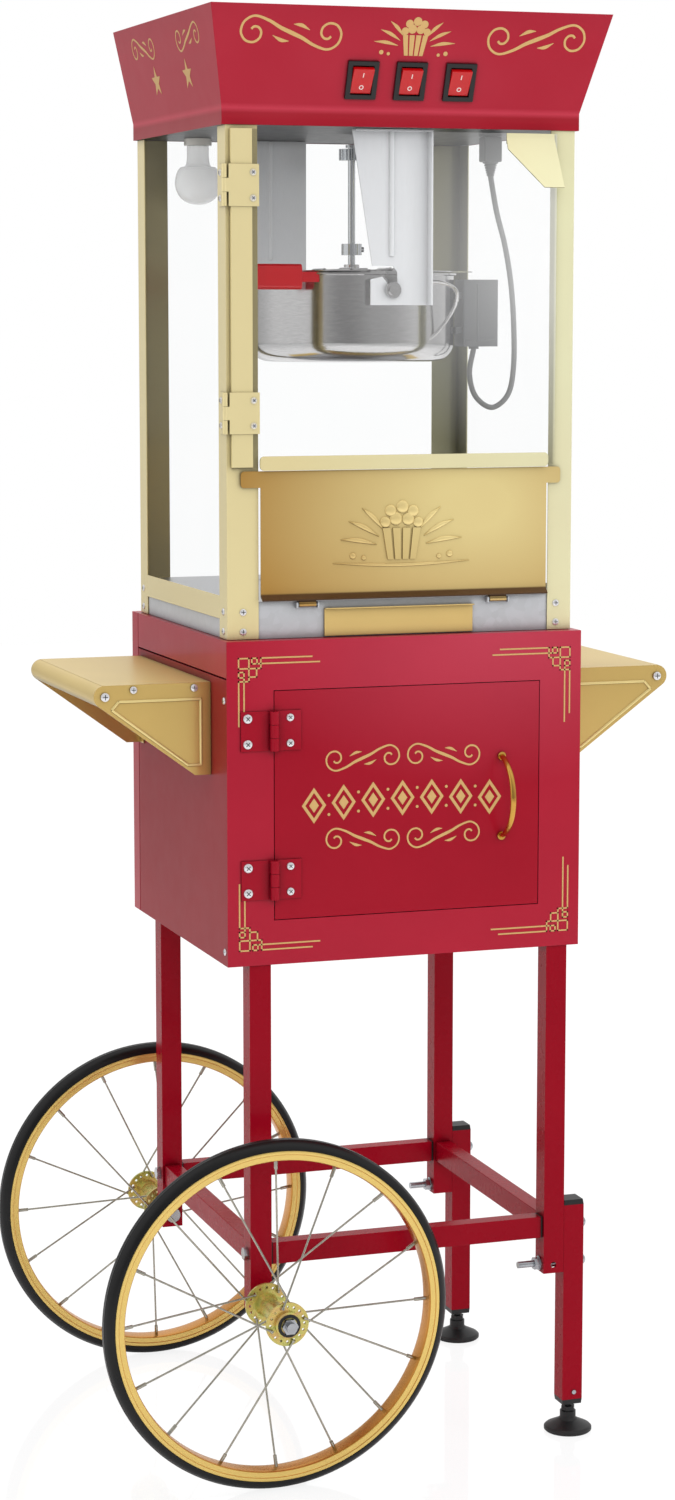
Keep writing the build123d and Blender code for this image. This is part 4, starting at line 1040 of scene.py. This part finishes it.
def cable_relief():
    """Ribbed strain relief that widens up to the plug: (radius, z) rings."""
    profile = [(0.01, 1485)]
    for i in range(5):
        z = 1486 + i * 2.8
        r = 4.6 + i * 0.7
        profile += [(r, z), (r, z + 1.6), (r - 0.9, z + 1.9), (r - 0.9, z + 2.6)]
    profile += [(8.6, 1500.2), (9.6, 1502), (9.6, 1503), (0.01, 1503)]
    bm = bmesh.new()
    lathe(bm, profile, (MID_X + PLUG_X, CABLE_Y, 0), axis="z", steps=28, closed=False)
    bmesh.ops.remove_doubles(bm, verts=bm.verts[:], dist=2e-5)
    make("cable_relief", bm, "cable_black", "cart")


def cable_plug():
    size, centre = (22, 20, 29), (MID_X + PLUG_X, CABLE_Y, 1516.5)
    bm = bmesh.new()
    bmesh.ops.create_cube(bm, size=1.0)
    bmesh.ops.scale(bm, vec=Vector(size) * MM, verts=bm.verts[:])
    bmesh.ops.translate(bm, vec=Vector(centre) * MM, verts=bm.verts[:])
    bmesh.ops.bevel(bm, geom=bm.edges[:], offset=2.2 * MM, segments=4, profile=0.6,
                    affect="EDGES")
    make("cable_plug", bm, "cable_black", "cart", smooth_deg=40)


def terminal_ridges():
    """An upright ridge and a level one near the bottom of the terminal box's front."""
    face = front_plane(-50.0, x=146, z=1326)
    bm = bmesh.new()
    stroke(bm, face, [(-4, 34, 2.6), (-4, 10, 2.6), (-4, -34, 2.6)], crown=1.1, step=8)
    stroke(bm, face, [(-19, -31, 2.0), (0, -31, 2.0), (18, -31, 2.0)], crown=0.8, step=6)
    make("terminal_ridges", bm, "terminal_grey", "kettle", smooth_deg=60)


kettle_cable()
cable_relief()
cable_plug()
terminal_ridges()


# ------------------------------------------------------------------ floor, world, lights, camera
def floor_material(name):
    """Plain pale grey to other rays; to the camera nearly white with a faint reflection."""
    m = Mat(name)
    m.set(Base_Color=m.mix(m.remap(m.noise(1.3, detail=2)), (0.80, 0.80, 0.80),
                           (0.84, 0.84, 0.845)), Roughness=0.6)
    white = m.mix(m.remap(m.noise(0.8, detail=2)), (1.0, 1.0, 1.0), (0.995, 0.997, 1.0))
    glow = m.node("Emission", {"Color": white, "Strength": 0.85})
    matt = m.node("BsdfDiffuse", {"Color": (0.12, 0.12, 0.12)})
    mirror = m.node("BsdfGlossy", {"Color": (0.10, 0.10, 0.10), "Roughness": 0.045})
    lit = m.node("AddShader", {0: glow.outputs[0], 1: matt.outputs[0]})
    seen = m.node("AddShader", {0: lit.outputs[0], 1: mirror.outputs[0]})
    m.feed(m.surface, m.mix_shader(m.camera_ray(), m.shader.outputs[0], seen.outputs[0]))


def studio_floor():
    floor_material("studio_floor")
    bm = bmesh.new()
    bmesh.ops.create_grid(bm, x_segments=8, y_segments=8, size=9.0)
    mesh = bpy.data.meshes.new("studio_floor")
    bm.to_mesh(mesh)
    bm.free()
    mesh.materials.append(mats["studio_floor"])
    floor = bpy.data.objects.new("studio_floor", mesh)
    floor.location = (0, 0, -0.0005)
    scene.collection.objects.link(floor)


def studio_world():
    """White to the camera; a grey room, brighter upwards, to every other ray."""
    world = bpy.data.worlds.new("studio")
    scene.world = world
    world.use_nodes = True
    world.node_tree.nodes.clear()
    w = Nodes(world.node_tree)
    direction = w.split(w.node("TexCoord").outputs["Generated"])
    greys = ((0.0, 0.60), (0.46, 0.62), (0.52, 0.80), (0.72, 0.96), (1.0, 1.0))
    room = w.ramp(w.remap(direction["Z"], over=(-1, 1)), [(p, (g, g, g)) for p, g in greys])
    # three soft dark flags around the room so that metals have something to show
    turn = w.math("ARCTAN2", direction["X"], direction["Y"])
    wave = w.math("SINE", w.math("MULTIPLY", turn, 3.0))
    flags = w.remap(wave, to=(0.70, 1.0), over=(-1, 0.2))
    # the camera's side of the room is darker than the sweep behind and the roof
    near = w.remap(direction["Y"], to=(0.52, 1.0), over=(-1.0, -0.25),
                   interpolation_type="SMOOTHSTEP")
    room = w.times(room, w.math("MULTIPLY", flags, near))
    around = w.node("Background", {"Color": room, "Strength": 1.0})
    white = w.node("Background", {"Color": (1, 1, 1), "Strength": 1.0})
    seen = w.mix_shader(w.camera_ray(), around.outputs[0], white.outputs[0])
    w.node("OutputWorld", {"Surface": seen})


def aim(item, direction):
    item.rotation_euler = Vector(direction).to_track_quat("-Z", "Y").to_euler()


def softbox(name, location, target, width, height, power):
    light = bpy.data.lights.new(name, "AREA")
    light.shape = "RECTANGLE"
    light.size, light.size_y = width, height
    light.energy = power
    lamp = bpy.data.objects.new(name, light)
    lamp.location = location
    aim(lamp, Vector(target) - Vector(location))
    lamp.visible_camera = False
    lamp.visible_glossy = False
    scene.collection.objects.link(lamp)


def studio_camera():
    lens = bpy.data.cameras.new("camera")
    lens.sensor_width = 36
    lens.lens = 77.6
    lens.clip_start, lens.clip_end = 0.1, 100
    camera = bpy.data.objects.new("camera", lens)
    camera.location = (-1.23633, -3.63161, 1.32735)
    aim(camera, (0.31896752, 0.93820936, -0.13424949))
    scene.collection.objects.link(camera)
    scene.camera = camera


studio_floor()
studio_world()
# places and sizes in metres, power in watts
softbox("key", (-1.2, -4.4, 2.7), (0, 0, 1.0), width=1.8, height=2.4, power=58)
softbox("fill", (3.0, -2.4, 2.0), (0, 0, 0.9), width=1.4, height=2.6, power=30)
softbox("top", (0.0, 0.2, 3.8), (0, 0, 0.8), width=3.0, height=3.0, power=40)
softbox("back", (0.8, 3.2, 2.2), (0, 0, 0.9), width=3.0, height=2.4, power=30)
studio_camera()

view = scene.view_settings
view.view_transform = "Standard"
view.look = "None"
view.exposure = 0.0
